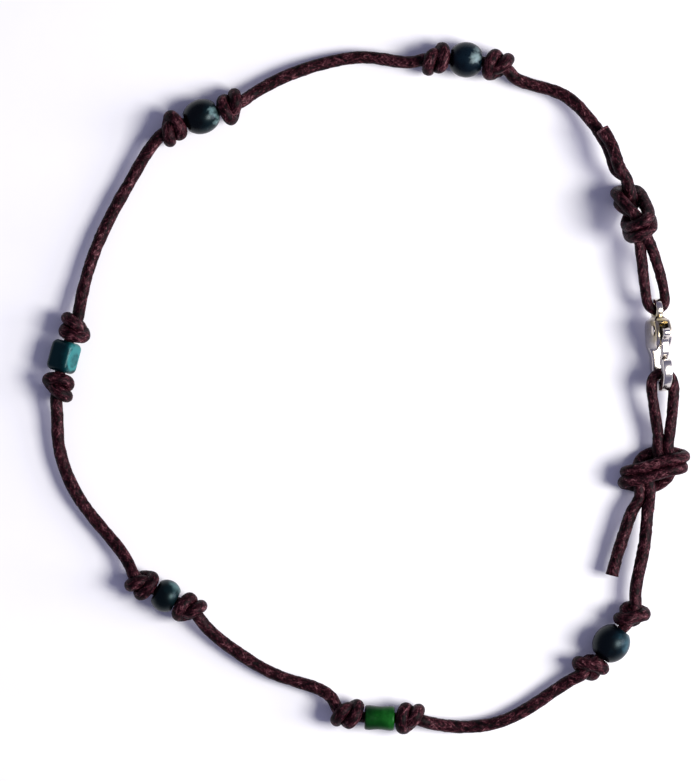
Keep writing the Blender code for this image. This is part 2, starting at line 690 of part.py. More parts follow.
def make_clasp_body(group, helpers):
    hole = arc(0, EYE_Y, EYE_HOLE_RADIUS, 0, 360)[:-1]
    body = flat_plate("clasp_body", [clasp_outline(), hole], CLASP_THICKNESS, CLASP_EDGE_ROUND, group)
    thin_ends(body)
    low = (SLOT_BACK_X, SLOT_FROM_Y, -SLOT_WIDTH / 2)
    high = (2 * HEAD_RADIUS, SLOT_TO_Y, SLOT_WIDTH / 2)
    slot = block("lever_slot", low, high, helpers)
    as_cutter(slot)
    cut(body, slot)
    hole_radius = RIVET_RADIUS + RIVET_CLEARANCE
    bore = drill("body_rivet_bore", hole_radius, CLASP_THICKNESS, RIVET_SIDES, helpers)
    bore.location = (PIVOT_X, PIVOT_Y, 0)
    cut(body, bore)
    bpy.context.view_layer.update()
    body = as_mesh(body)
    smooth_round(body)
    body.matrix_world = clasp_place()
    body.data.materials.append(new_material("clasp_metal", CLASP_LOOK))
    return body


def pivot_place():
    return clasp_place() @ Matrix.Translation((PIVOT_X, PIVOT_Y, 0))


def make_clasp_lever(group, helpers):
    """The lever about its own pivot, which is its origin."""
    route = [(x - PIVOT_X, y - PIVOT_Y, 0) for x, y in LEVER_OUTLINE]
    sides = [(point[0], point[1]) for point in smooth_curve(route, LEVER_STEP)]
    eye = arc(0, 0, LEVER_EYE_RADIUS, LEVER_EYE_FROM, LEVER_EYE_TO)
    outline = eye + sides[::-1]
    hole = arc(0, 0, RIVET_RADIUS + RIVET_CLEARANCE, 0, 360)[:-1]
    lever = flat_plate("clasp_lever", [outline, hole], LEVER_THICKNESS, LEVER_EDGE_ROUND, group)
    smooth_round(lever)
    lever.matrix_world = pivot_place()
    lever.data.materials.append(new_material("lever_metal", CLASP_LOOK))
    return lever


def make_clasp_rivet(group):
    seat = CLASP_THICKNESS / 2 + RIVET_CLEARANCE
    crown = seat + RIVET_HEAD_HEIGHT
    half = [(0, crown), (RIVET_HEAD_RADIUS * RIVET_CROWN_SHARE, crown)]
    half.append((RIVET_HEAD_RADIUS, seat + RIVET_HEAD_HEIGHT * RIVET_RIM_SHARE))
    half.append((RIVET_HEAD_RADIUS, seat))
    half.append((RIVET_RADIUS, seat))
    profile = half + [(r, -h) for r, h in reversed(half)]
    rivet = turned("clasp_rivet", profile, RIVET_SIDES, group)
    smooth_round(rivet)
    rivet.matrix_world = pivot_place()
    rivet.data.materials.append(new_material("rivet_metal", CLASP_LOOK))
    return rivet


clear_scene()
parts = new_collection("beaded_anklet")
helpers = new_collection("cutters")
helpers.hide_render = True
make_cord(parts)
for station in STATIONS:
    make_bead(station, parts, helpers)
make_clasp_body(parts, helpers)
make_clasp_lever(parts, helpers)
make_clasp_rivet(parts)
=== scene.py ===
# Looks of the beaded anklet: knotted waxed cord, glass beads and a cast lobster clasp, lying on a
# pale floor in soft studio light and seen from straight above. Metres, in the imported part's frame.

import math

import bmesh
import bpy
import numpy as np
from mathutils import Matrix, Vector


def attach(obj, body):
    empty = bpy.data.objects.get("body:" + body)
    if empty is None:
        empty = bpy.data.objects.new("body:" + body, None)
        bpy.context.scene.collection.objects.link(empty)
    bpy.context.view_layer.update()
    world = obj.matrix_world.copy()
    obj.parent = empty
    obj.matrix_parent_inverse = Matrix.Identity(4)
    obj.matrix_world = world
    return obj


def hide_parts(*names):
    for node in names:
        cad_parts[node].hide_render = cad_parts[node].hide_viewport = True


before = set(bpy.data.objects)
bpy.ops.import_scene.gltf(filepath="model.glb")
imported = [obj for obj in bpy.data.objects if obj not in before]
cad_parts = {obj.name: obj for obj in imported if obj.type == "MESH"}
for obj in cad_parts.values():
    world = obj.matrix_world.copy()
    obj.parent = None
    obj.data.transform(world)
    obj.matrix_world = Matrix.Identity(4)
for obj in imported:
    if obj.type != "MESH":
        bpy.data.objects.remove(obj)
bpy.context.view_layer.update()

MM = 0.001

# Cord
CORD_DIAMETER = 1.48 * MM
KNOT_CORD_DIAMETER = 1.08 * MM  # in the CAD's knots, which sets where the knots sit
BORE_CORD_DIAMETER = 1.20 * MM  # through a bead, and through the clasp's eye
HOOKED_CORD_DIAMETER = 1.30 * MM
CUT_END_DIAMETER = 1.60 * MM  # a cut end flares a little
CORD_EASE = 0.7  # power of the gap between chosen points, by which the curve shares its bend

# Knots
KNOT_SWING = 0.08 * MM  # how far the smooth cord swings below a knot's chosen points
KNOT_PITCH = 1.30 * MM  # of the CAD's knots, from one strand's middle to the next beside it
PAIR_PITCH = 1.20 * MM  # in the knots of the doubled cord
KNOT_TILT_SHARE = 0.5  # of the cord's turn beside a bead, taken up inside the knot
CORD_IN_BEAD_SHARE = 0.85  # of the bead's length, over which the cord runs straight
PAIR_SPREAD = 1.02  # of the pitch, between the two strands of a doubled knot

# Beads
BORE_CLEARANCE = 0.14 * MM  # all round the cord
BEAD_TO_KNOT_GAP = 0.12 * MM
TUBE_WAIST = 0.12 * MM  # how much slimmer the tube bead is at its middle
TUBE_SHOULDER_SHARE = 0.6  # of the waist, halfway from the middle to the end
CUBE_BEAD_ROLL = 31.0  # degrees
CUBE_BEAD_ROUND = 0.75 * MM

# Clasp, in its own frame: X from the spine to the lever, Y from the hook to the eye
CLASP_THICKNESS = 2.0 * MM
EYE_Y = 4.2 * MM
EYE_RADIUS = 1.3 * MM
EYE_HOLE_RADIUS = 0.76 * MM
EYE_THICKNESS = 0.8 * MM
HEAD_Y = 1.5 * MM
HEAD_RADIUS = 2.2 * MM
CHEEK_HALF_LENGTH = 1.3 * MM  # of the flat sides of the head
HOOK_Y = -2.8 * MM
HOOK_RADIUS = 2.65 * MM
HOOK_WIDTH = 1.25 * MM
HOOK_THICKNESS = 1.1 * MM
HOOK_TIP_ANGLE = 14.0  # degrees above the hook's middle, where its free tip ends
SPINE_INNER_ANGLE = 240.0  # degrees round the head, where the spine's inner edge meets it
SPINE_OUTER_ANGLE = 190.0
CLASP_EDGE_ROUND = 0.28 * MM
CLASP_ARC_STEP = 6.0  # degrees between the outline's points
SLOT_WIDTH = 1.12 * MM
SLOT_BACK_X = -0.35 * MM
SLOT_FROM_Y = -1.3 * MM
SLOT_TO_Y = 2.75 * MM

# Lever and the rivet that it turns on
PIVOT_X = 1.05 * MM
PIVOT_Y = 1.75 * MM
RIVET_RADIUS = 0.34 * MM
RIVET_HEAD_RADIUS = 0.62 * MM
RIVET_HEAD_HEIGHT = 0.18 * MM
RIVET_CLEARANCE = 0.06 * MM  # in the body's and the lever's holes and under the rivet's heads
LEVER_THICKNESS = 0.86 * MM
LEVER_EYE_RADIUS = 0.78 * MM
LEVER_EDGE_ROUND = 0.12 * MM

# Lever's outline from the right of its eye round the thumb tab and down to its end, which closes
# against the inside of the hook's tip, then up its inner side to the left of the eye.
# columns: x, y in the clasp's frame
LEVER_OUTLINE = [
    (2.35 * MM, 2.00 * MM),
    (3.00 * MM, 1.85 * MM),
    (3.30 * MM, 1.45 * MM),
    (3.05 * MM, 1.00 * MM),
    (2.45 * MM, 0.65 * MM),
    (2.20 * MM, 0.00 * MM),
    (2.15 * MM, -0.80 * MM),
    (1.80 * MM, -1.42 * MM),
    (1.28 * MM, -1.85 * MM),
    (1.12 * MM, -2.25 * MM),
    (0.85 * MM, -2.40 * MM),
    (0.62 * MM, -2.20 * MM),
    (0.75 * MM, -1.55 * MM),
    (1.25 * MM, -0.85 * MM),
    (1.30 * MM, 0.00 * MM),
    (0.85 * MM, 0.75 * MM),
]
LEVER_EYE_FROM = 30.0  # degrees round the pivot, where the outline leaves its eye and comes back
LEVER_EYE_TO = 205.0

# Where the clasp lies
CLASP_X = 34.25 * MM
CLASP_Y = 5.05 * MM
CLASP_HEIGHT = 2.75 * MM
CLASP_HEADING = 4.4  # degrees, of its long axis from +Y towards -X
CLASP_TILT = 74.0  # degrees, of its flat face from level

# Bends of the cord's two loops round the clasp's metal
EYE_BEND_RADIUS = 1.12 * MM
HOOK_BEND_RADIUS = 1.35 * MM
HOOK_SEAT_GAP = 0.24 * MM
BEND_ANGLES = (-90, -50, 0, 50, 90)  # degrees round the half turn

# Overhand knot: shares of the pitch from its middle to its exit, and the strand's other half
# is the same turned half a turn about the up axis.
# columns: along the cord, side, up
OVERHAND_KNOT = [
    (0.00, 0.00, 1.02),
    (-0.40, 0.60, 0.98),
    (-0.70, 1.10, 0.45),
    (-0.82, 1.06, -0.25),
    (-0.82, 0.40, -0.92),
    (-0.62, -0.35, -0.98),
    (-0.26, -0.72, -0.45),
    (0.16, -0.52, 0.00),
    (0.54, -0.15, 0.05),
    (1.05, 0.02, 0.03),
]

# Overhand knot tied in the doubled cord, flat as it lies, with the direction from one strand
# to the other.
# columns: along the cord, side, up, and the same three of that direction
DOUBLED_KNOT = [
    (0.00, 0.00, 1.15, 0.85, 0.50, 0.00),
    (-0.75, 1.25, 1.10, 0.90, 0.40, 0.00),
    (-1.30, 2.35, 0.55, 1.00, 0.20, 0.00),
    (-1.50, 2.35, -0.60, 1.00, 0.00, 0.00),
    (-1.45, 1.20, -1.20, 1.00, 0.00, 0.00),
    (-1.15, -0.05, -1.25, 0.85, 0.50, 0.00),
    (-0.40, -0.95, -0.80, 0.30, 0.95, 0.00),
    (0.70, -0.95, 0.00, 0.00, 1.00, 0.00),
    (1.90, -0.25, 0.00, 0.00, 1.00, 0.00),
    (2.70, 0.00, 0.00, 0.00, 1.00, 0.00),
]

# The tables' places are chosen for a loop of this width (X) and length (Y), and spread with it
LOOP_WIDTH = 76.2 * MM
LOOP_LENGTH = 81.7 * MM
CHOSEN_WIDTH = 76.2 * MM
CHOSEN_LENGTH = 81.7 * MM

# From the tables' zero to the middle of the whole anklet's bounds
MIDDLE_X = -0.36 * MM
MIDDLE_Y = -0.035 * MM

# Stations in the order of the cord from the eye's loop, each a bead between two knots.
# columns: name, x, y, heading of the cord through the bead in degrees, then for the knot before
# the bead and the one after it how far aside it sits, to the left of that heading, and its roll
# in degrees
STATIONS = [
    ("bead_blue_black_1", 11.5 * MM, 38.70 * MM, 175.0, (0.35 * MM, 225.0), (0.30 * MM, 160.0)),
    ("bead_blue_black_2", -19.7 * MM, 32.00 * MM, 201.0, (0.15 * MM, 215.0), (0.10 * MM, 135.0)),
    ("bead_teal_cube", -35.9 * MM, 3.70 * MM, 255.0, (0.35 * MM, 225.0), (0.30 * MM, 135.0)),
    ("bead_dark_teal", -23.9 * MM, -24.50 * MM, 333.0, (0.08 * MM, 235.0), (-0.15 * MM, 135.0)),
    ("bead_green_tube", 1.3 * MM, -38.90 * MM, 358.0, (0.40 * MM, 200.0), (0.10 * MM, 135.0)),
    ("bead_navy", 28.6 * MM, -30.10 * MM, 52.0, (0.25 * MM, 340.0), (0.10 * MM, 20.0)),
]

# Beads by name.
# columns: length along the cord, width across it, radius of its flat end faces
BEAD_SIZES = {
    "bead_blue_black_1": (3.7 * MM, 4.2 * MM, 1.10 * MM),
    "bead_blue_black_2": (4.0 * MM, 4.1 * MM, 1.05 * MM),
    "bead_teal_cube": (3.7 * MM, 2.95 * MM, 1.00 * MM),
    "bead_dark_teal": (2.7 * MM, 3.9 * MM, 1.30 * MM),
    "bead_green_tube": (3.5 * MM, 3.0 * MM, 1.22 * MM),
    "bead_navy": (4.1 * MM, 4.35 * MM, 1.10 * MM),
}

# Loop knots by name, with X pointing from the loop to the free end.
# columns: x, y, height of the knot's middle, heading and roll in degrees, how drawn out the
# knot is along the cord, and the twist in degrees of its two strands where they leave to the loop
LOOP_KNOTS = {
    "eye_loop": (31.4 * MM, 20.75 * MM, 3.75 * MM, 106.0, 92.0, 1.25, 80.0),
    "hook_loop": (33.65 * MM, -9.60 * MM, 2.10 * MM, 252.0, 0.0, 1.12, 0.0),
}

# The cord between its knots, as chosen points in the order of the route. Each numbered stretch
# leads to the station of that number, and the last one to the hook's loop.
# columns: stretch, x, y, height of the cord's middle
ROUTE = [
    ("eye_tail", 27.45 * MM, 30.40 * MM, 4.30 * MM),
    ("eye_tail", 28.30 * MM, 29.00 * MM, 4.55 * MM),
    ("eye_tail", 28.95 * MM, 27.40 * MM, 4.75 * MM),
    ("eye_tail", 29.50 * MM, 25.80 * MM, 4.80 * MM),
    ("stretch_1", 29.25 * MM, 25.60 * MM, 3.15 * MM),
    ("stretch_1", 28.60 * MM, 27.30 * MM, 3.05 * MM),
    ("stretch_1", 27.40 * MM, 29.80 * MM, 2.65 * MM),
    ("stretch_1", 25.70 * MM, 32.10 * MM, 2.30 * MM),
    ("stretch_1", 22.50 * MM, 34.80 * MM, 1.75 * MM),
    ("stretch_1", 17.20 * MM, 36.65 * MM, 1.75 * MM),
    ("stretch_2", 5.10 * MM, 38.45 * MM, 1.75 * MM),
    ("stretch_2", 0.20 * MM, 39.00 * MM, 1.35 * MM),
    ("stretch_2", -4.50 * MM, 38.50 * MM, 1.30 * MM),
    ("stretch_2", -9.25 * MM, 37.00 * MM, 1.40 * MM),
    ("stretch_2", -14.00 * MM, 34.45 * MM, 1.75 * MM),
    ("stretch_3", -25.90 * MM, 28.10 * MM, 1.75 * MM),
    ("stretch_3", -28.10 * MM, 24.45 * MM, 1.40 * MM),
    ("stretch_3", -30.10 * MM, 20.90 * MM, 1.30 * MM),
    ("stretch_3", -32.50 * MM, 15.60 * MM, 1.35 * MM),
    ("stretch_3", -33.95 * MM, 10.20 * MM, 1.75 * MM),
    ("stretch_4", -36.75 * MM, -2.60 * MM, 1.75 * MM),
    ("stretch_4", -36.60 * MM, -6.40 * MM, 1.35 * MM),
    ("stretch_4", -35.50 * MM, -10.40 * MM, 1.30 * MM),
    ("stretch_4", -33.20 * MM, -14.40 * MM, 1.30 * MM),
    ("stretch_4", -28.30 * MM, -20.70 * MM, 1.75 * MM),
    ("stretch_5", -19.45 * MM, -27.85 * MM, 1.75 * MM),
    ("stretch_5", -14.90 * MM, -31.60 * MM, 1.35 * MM),
    ("stretch_5", -9.70 * MM, -34.30 * MM, 1.30 * MM),
    ("stretch_5", -4.30 * MM, -36.60 * MM, 1.75 * MM),
    ("stretch_6", 7.00 * MM, -39.45 * MM, 1.75 * MM),
    ("stretch_6", 12.00 * MM, -40.00 * MM, 1.30 * MM),
    ("stretch_6", 18.00 * MM, -38.30 * MM, 1.35 * MM),
    ("stretch_6", 23.90 * MM, -34.45 * MM, 1.75 * MM),
    ("stretch_7", 31.45 * MM, -24.60 * MM, 2.15 * MM),
    ("stretch_7", 32.25 * MM, -19.90 * MM, 2.40 * MM),
    ("stretch_7", 32.70 * MM, -16.80 * MM, 2.40 * MM),
    ("stretch_7", 32.92 * MM, -14.20 * MM, 2.45 * MM),
    ("hook_tail", 31.25 * MM, -14.20 * MM, 2.10 * MM),
    ("hook_tail", 30.30 * MM, -16.70 * MM, 2.10 * MM),
    ("hook_tail", 29.45 * MM, -19.30 * MM, 2.00 * MM),
    ("hook_tail", 28.70 * MM, -22.10 * MM, 1.90 * MM),
]

# Finer sizes of the surfaces
KNOT_LOOK_DIAMETER = 1.50 * MM  # the knots' strands press into each other
KNOT_LOOK_PITCH = 1.10 * MM
DOUBLED_LOOK_DIAMETER = 1.38 * MM
CORD_STEP = 0.15 * MM
CORD_SIDES = 20
WEAVE_PITCH = 0.80 * MM  # along the cord, for one strand of its braid
WEAVE_STRANDS = 4
WEAVE_HEIGHT = 0.012 * MM
LUMP_HEIGHT = 0.020 * MM
LUMP_STEP = 0.45 * MM
LUMPS_ROUND = 8
WAVER_STEP = 1.3 * MM
WAVER_SHARE = 0.022  # of the cord's radius
CORD_FINE_STEP = 0.02 * MM  # of the curve that the cord's length is measured on
CORD_SEED = 7
CORD_FLOOR_GAP = 0.01 * MM
CAP_WEAVE_RADIUS = 0.31  # of the weave's turn, on the cut ends
LATHE_SIDES = 64
DRILL_SIDES = 32
RIVET_SIDES = 48
RIVET_ARC_STEPS = 8
RIVET_RIM_SHARE = 0.25  # of the rivet head's height, at its rim
WELD_DISTANCE = 0.0005 * MM
CORNER_STEPS = 5
BEAD_ARC_STEPS = 32
BEAD_RIM = 0.16 * MM
TUBE_ARC_STEPS = 12
TUBE_CORNER_STEPS = 10
TUBE_TAPER = 0.03 * MM  # how much smaller the tube bead's end is than its widest
TUBE_BORE_RIM = 0.12 * MM
TUBE_END_ROUND = 0.30 * MM
TUBE_END_LENGTH = 0.34 * MM  # left to the rounded end
CUBE_BEVEL_STEPS = 9
LEVER_STEP = 0.12 * MM
PLATE_GRID = 0.35 * MM
PLATE_REACH = 8 * MM
PLATE_ROUND_STEPS = 4
SEAT_GAP = 0.02 * MM  # between a knot pressed flat and its bead
PRESS_DEPTH = 0.6 * MM
PRESS_REACH = 3.5 * MM  # from the bead's axis
BEAD_SHARP_ANGLE = 50  # degrees
CLASP_SHARP_ANGLE = 38
RIVET_SHARP_ANGLE = 45

# Looks
SLANT_LEFT = 0.06  # turns round the cord for each pitch of its weave
SLANT_RIGHT = -0.10
STREAK_STRETCH = 0.38  # along the cord, of the streaks' own size
CUT_END_LENGTH = 0.35  # of the weave's pitch, paler at the cord's cut end
CUT_END_TONE = 0.12
# Painted highlight: a paler oval rim on the cube bead's right face
OVAL_HALF_LENGTH = 1.25 * MM
OVAL_HALF_WIDTH = 0.95 * MM
OVAL_RIM_SHARE = 0.26  # of the oval's own size
OVAL_DEPTH = 1.1 * MM
OVAL_HIGHLIGHT_TONE = 0.34
LIT_SIDE_PAINT_SLOPE = 0.40 / MM  # of the glass's tone towards the side that faces the lamps: painted light and shade
TONE_TOP = 1.6
GLASS_IOR = 1.26
METAL_ROUGHNESS = 0.14
SILVER = (0.60, 0.56, 0.52)
# Painted reflection of a warm olive surround, laid round the clasp's head and the lever's eye
OLIVE_REFLECTION = (0.40, 0.33, 0.17)
BODY_REFLECTION_SPOT = (0.9 * MM, 2.2 * MM, 0.8 * MM)  # middle of the painted warm olive reflection, in the clasp's frame
BODY_REFLECTION_REACH = 2.3 * MM
LEVER_REFLECTION_REACH = 1.5 * MM
FLOOR_REACH = 1.5
FOCUS_HEIGHT = 1.6 * MM
PHOTO_PIXEL = 0.118 * MM
PHOTO_HEIGHT = 781 * PHOTO_PIXEL
CAMERA_HEIGHT = 0.60  # the photograph looks straight down
CAMERA_X = (350.0 - 368.5) * PHOTO_PIXEL - MIDDLE_X
CAMERA_Y = (388.0 - 390.5) * PHOTO_PIXEL - MIDDLE_Y
SENSOR_WIDTH = 36  # millimetres


def smooth_curve(rows, step):
    """Points on a natural cubic spline through the rows, about a step apart. What a row holds
    after its place runs straight from row to row."""
    rows = np.array(rows, dtype=float)
    leaps = np.linalg.norm(np.diff(rows[:, :3], axis=0), axis=1)
    spans = leaps**CORD_EASE
    count = len(rows)
    system = np.eye(count)
    known = np.zeros_like(rows)
    for i in range(1, count - 1):
        system[i, i - 1 : i + 2] = (spans[i - 1], 2 * (spans[i - 1] + spans[i]), spans[i])
        after = (rows[i + 1] - rows[i]) / spans[i]
        before = (rows[i] - rows[i - 1]) / spans[i - 1]
        known[i] = 6 * (after - before)
    bends = np.linalg.solve(system, known)
    points = []
    for i in range(count - 1):
        pieces = math.ceil(leaps[i] / step)
        for j in range(pieces):
            b = j / pieces
            a = 1 - b
            bend = ((a**3 - a) * bends[i] + (b**3 - b) * bends[i + 1]) * spans[i] ** 2 / 6
            bend[3:] = 0
            points.append(a * rows[i] + b * rows[i + 1] + bend)
    points.append(rows[-1])
    return np.array(points)


def both_halves(half, flips):
    """The whole strand from the half that ends at its exit."""
    second = np.array(half, dtype=float)
    first = second[:0:-1] * np.array(flips)
    return np.vstack([first, second])


def placed(x, y, z):
    """A point of the tables in the anklet's own frame."""
    across = LOOP_WIDTH / CHOSEN_WIDTH
    along = LOOP_LENGTH / CHOSEN_LENGTH
    return Vector(((x - MIDDLE_X) * across, (y - MIDDLE_Y) * along, z))


def frame_at(x, y, z, heading, roll):
    """Placing matrix whose X points along the heading, turned by the roll about it."""
    headed = Matrix.Rotation(math.radians(heading), 4, "Z")
    rolled = Matrix.Rotation(math.radians(roll), 4, "X")
    return Matrix.Translation(placed(x, y, z)) @ headed @ rolled


def moved(points, place):
    return np.array([place @ Vector(point) for point in points])


def overhand_knot(place, pitch=KNOT_PITCH):
    shape = both_halves(OVERHAND_KNOT, (-1, -1, 1)) * pitch
    return moved(shape, place)


def doubled_knot(name):
    """The two strands of a loop's knot, each from the loop to the free end."""
    *spot, drawn_out, twist = LOOP_KNOTS[name]
    place = frame_at(*spot)
    rows = both_halves(DOUBLED_KNOT, (-1, -1, 1, 1, 1, -1))
    middle = rows[:, :3] * np.array((drawn_out, 1, 1))
    along = np.gradient(middle, axis=0)
    along /= np.linalg.norm(along, axis=1)[:, None]
    across = rows[:, 3:]
    across = across - (across * along).sum(axis=1)[:, None] * along
    across /= np.linalg.norm(across, axis=1)[:, None]
    for row, share in ((0, 1.0), (1, 0.5)):
        across[row] = Matrix.Rotation(math.radians(twist * share), 3, "X") @ Vector(across[row])
    offset = across * PAIR_SPREAD / 2
    first = moved((middle + offset) * PAIR_PITCH, place)
    second = moved((middle - offset) * PAIR_PITCH, place)
    return first, second


def drop_below(points):
    """How far the cord through the points reaches below zero height."""
    return KNOT_CORD_DIAMETER / 2 + KNOT_SWING - min(point[2] for point in points)


def station_places(station):
    """Placing matrices of a station's bead and of the knots before and after it, on the surface."""
    name, x, y, heading, before, after = station
    length, width, _ = BEAD_SIZES[name]
    number = STATIONS.index(station) + 1
    bead = frame_at(x, y, 0, heading, 0)
    drop = cube_bead_drop(width) if name == "bead_teal_cube" else width / 2
    nearest = (stretch(f"stretch_{number}")[-1], stretch(f"stretch_{number + 1}")[0])
    knots = []
    for side, (aside, roll), point in zip((-1, 1), (before, after), nearest):
        place = bead @ Matrix.Translation((side * length, aside, 0))
        toward = place.inverted() @ point
        turn = math.atan2(side * toward.y, side * toward.x)
        tilted = Matrix.Rotation(turn * KNOT_TILT_SHARE, 4, "Z")
        rolled = Matrix.Rotation(math.radians(roll), 4, "X")
        loops = overhand_knot(tilted @ rolled)[2:-2]
        reach = KNOT_CORD_DIAMETER / 2 - min(side * point[0] for point in loops)
        out = length / 2 + BEAD_TO_KNOT_GAP + reach
        knots.append(bead @ Matrix.Translation((side * out, aside, 0)) @ tilted @ rolled)
        drop = max(drop, drop_below(overhand_knot(knots[-1])))
    lift = Matrix.Translation((0, 0, drop))
    return lift @ bead, lift @ knots[0], lift @ knots[1]


def cube_bead_drop(width):
    """From the rolled cube bead's middle down to its lowest rounded edge."""
    turn = math.radians(CUBE_BEAD_ROLL)
    flat = width / 2 - CUBE_BEAD_ROUND
    return (abs(math.sin(turn)) + abs(math.cos(turn))) * flat + CUBE_BEAD_ROUND


def clasp_place():
    upright = Matrix.Rotation(math.radians(CLASP_HEADING), 4, "Z")
    tilt = Matrix.Rotation(math.radians(-CLASP_TILT), 4, "Y")
    return Matrix.Translation(placed(CLASP_X, CLASP_Y, CLASP_HEIGHT)) @ upright @ tilt


def clasp_bend(seat_y, radius, direction):
    """Points of the cord's half turn through the clasp at seat_y, from its -Z side to its +Z side.
    The direction, 1 or -1 along the clasp's Y, is the side that its legs leave to."""
    place = clasp_place()
    points = []
    for degrees in BEND_ANGLES:
        turn = math.radians(degrees)
        y = seat_y + direction * radius * (1 - math.cos(turn))
        points.append(place @ Vector((0, y, radius * math.sin(turn))))
    return np.array(points)


def stretch(name):
    return [placed(x, y, z) for stretch_name, x, y, z in ROUTE if stretch_name == name]


def arc(x, y, radius, start, end):
    """Points of an arc in a flat outline, both ends included, the angles in degrees."""
    steps = max(1, round(abs(end - start) / CLASP_ARC_STEP))
    angles = np.radians(np.linspace(start, end, steps + 1))
    return [(x + radius * math.cos(a), y + radius * math.sin(a)) for a in angles]


def bead_bore():
    return BORE_CORD_DIAMETER / 2 + BORE_CLEARANCE


def cord_rows():
    """Every chosen or worked-out point of the cord in order, with its diameter."""
    rows = []

    def add(points, diameter, first=None, last=None):
        diameters = [diameter] * len(points)
        diameters[0] = first or diameter
        diameters[-1] = last or diameter
        rows.extend((*point, size) for point, size in zip(points, diameters))

    seat = HOOK_Y - (HOOK_RADIUS - HOOK_WIDTH) + HOOK_SEAT_GAP + HOOKED_CORD_DIAMETER / 2
    eye_tail, eye_main = doubled_knot("eye_loop")
    hook_main, hook_tail = doubled_knot("hook_loop")

    add(stretch("eye_tail"), CORD_DIAMETER, first=CUT_END_DIAMETER)
    add(eye_tail[::-1], DOUBLED_LOOK_DIAMETER)
    add(clasp_bend(EYE_Y, EYE_BEND_RADIUS, 1), BORE_CORD_DIAMETER)
    add(eye_main, DOUBLED_LOOK_DIAMETER)
    add(stretch("stretch_1"), CORD_DIAMETER)
    for number, station in enumerate(STATIONS, start=1):
        bead, before, after = station_places(station)
        in_bead = BEAD_SIZES[station[0]][0] * CORD_IN_BEAD_SHARE / 2
        through = moved([(-in_bead, 0, 0), (in_bead, 0, 0)], bead)
        add(overhand_knot(before, KNOT_LOOK_PITCH)[:-1], KNOT_LOOK_DIAMETER)
        add(through, BORE_CORD_DIAMETER)
        add(overhand_knot(after, KNOT_LOOK_PITCH)[1:], KNOT_LOOK_DIAMETER)
        add(stretch(f"stretch_{number + 1}"), CORD_DIAMETER)
    add(hook_main[::-1], DOUBLED_LOOK_DIAMETER)
    add(clasp_bend(seat, HOOK_BEND_RADIUS, -1), HOOKED_CORD_DIAMETER)
    add(hook_tail, DOUBLED_LOOK_DIAMETER)
    add(stretch("hook_tail"), CORD_DIAMETER, last=CUT_END_DIAMETER)
    return rows


def upright_frames(points):
    """For each point of a path its direction and two directions across it that don't twist."""
    along = np.gradient(points, axis=0)
    along /= np.linalg.norm(along, axis=1)[:, None]
    side = np.cross(along[0], (0, 0, 1))
    side /= np.linalg.norm(side)
    sides = []
    for direction in along:
        side = side - direction * side.dot(direction)
        side /= np.linalg.norm(side)
        sides.append(side)
    sides = np.array(sides)
    return along, sides, np.cross(along, sides)


def new_object(name, data):
    item = bpy.data.objects.new(name, data)
    bpy.context.scene.collection.objects.link(item)
    return item


def new_piece(name, mesh, material, body, node, place=None):
    """An object that rides on a body, stands for a CAD node and fills a material slot."""
    piece = new_object(name, mesh)
    mesh.materials.clear()
    mesh.materials.append(material)
    mesh.shade_smooth()
    if place is not None:
        piece.matrix_world = place
    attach(piece, body)
    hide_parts(node)


def lumps(stations, turn, rng):
    """Smooth random swellings of the cord, the same at both ends of a turn."""
    rows = math.ceil(stations[-1] / LUMP_STEP) + 1
    grid = rng.normal(0, 1, (rows, LUMPS_ROUND))
    row = stations / LUMP_STEP
    low = row.astype(int).clip(0, rows - 2)
    share = (row - low)[:, None]
    share = share * share * (3 - 2 * share)
    column = turn * LUMPS_ROUND
    left = column.astype(int)
    right = (left + 1) % LUMPS_ROUND
    mix = column - left
    mix = mix * mix * (3 - 2 * mix)
    first = grid[low][:, left] * (1 - mix) + grid[low][:, right] * mix
    second = grid[low + 1][:, left] * (1 - mix) + grid[low + 1][:, right] * mix
    return first * (1 - share) + second * share


def pressed(verts):
    """Flattens the knots where they meet a bead's ends, and keeps the cord inside the bores."""
    for station in STATIONS:
        half = BEAD_SIZES[station[0]][0] / 2 + SEAT_GAP
        place = station_places(station)[0]
        turn = np.array(place.to_3x3())
        local = (verts - np.array(place.translation)) @ turn
        depth = half - np.abs(local[..., 0])
        off_axis = np.linalg.norm(local[..., 1:], axis=-1)
        near = (depth > 0) & (off_axis > bead_bore()) & (off_axis < PRESS_REACH)
        face = near & (depth < PRESS_DEPTH)
        local[..., 0] = np.where(face, np.sign(local[..., 0]) * half, local[..., 0])
        inside = near & ~face
        shrink = np.where(inside, bead_bore() / off_axis, 1.0)
        local[..., 1:] *= shrink[..., None]
        verts = local @ turn.T + np.array(place.translation)
    return verts


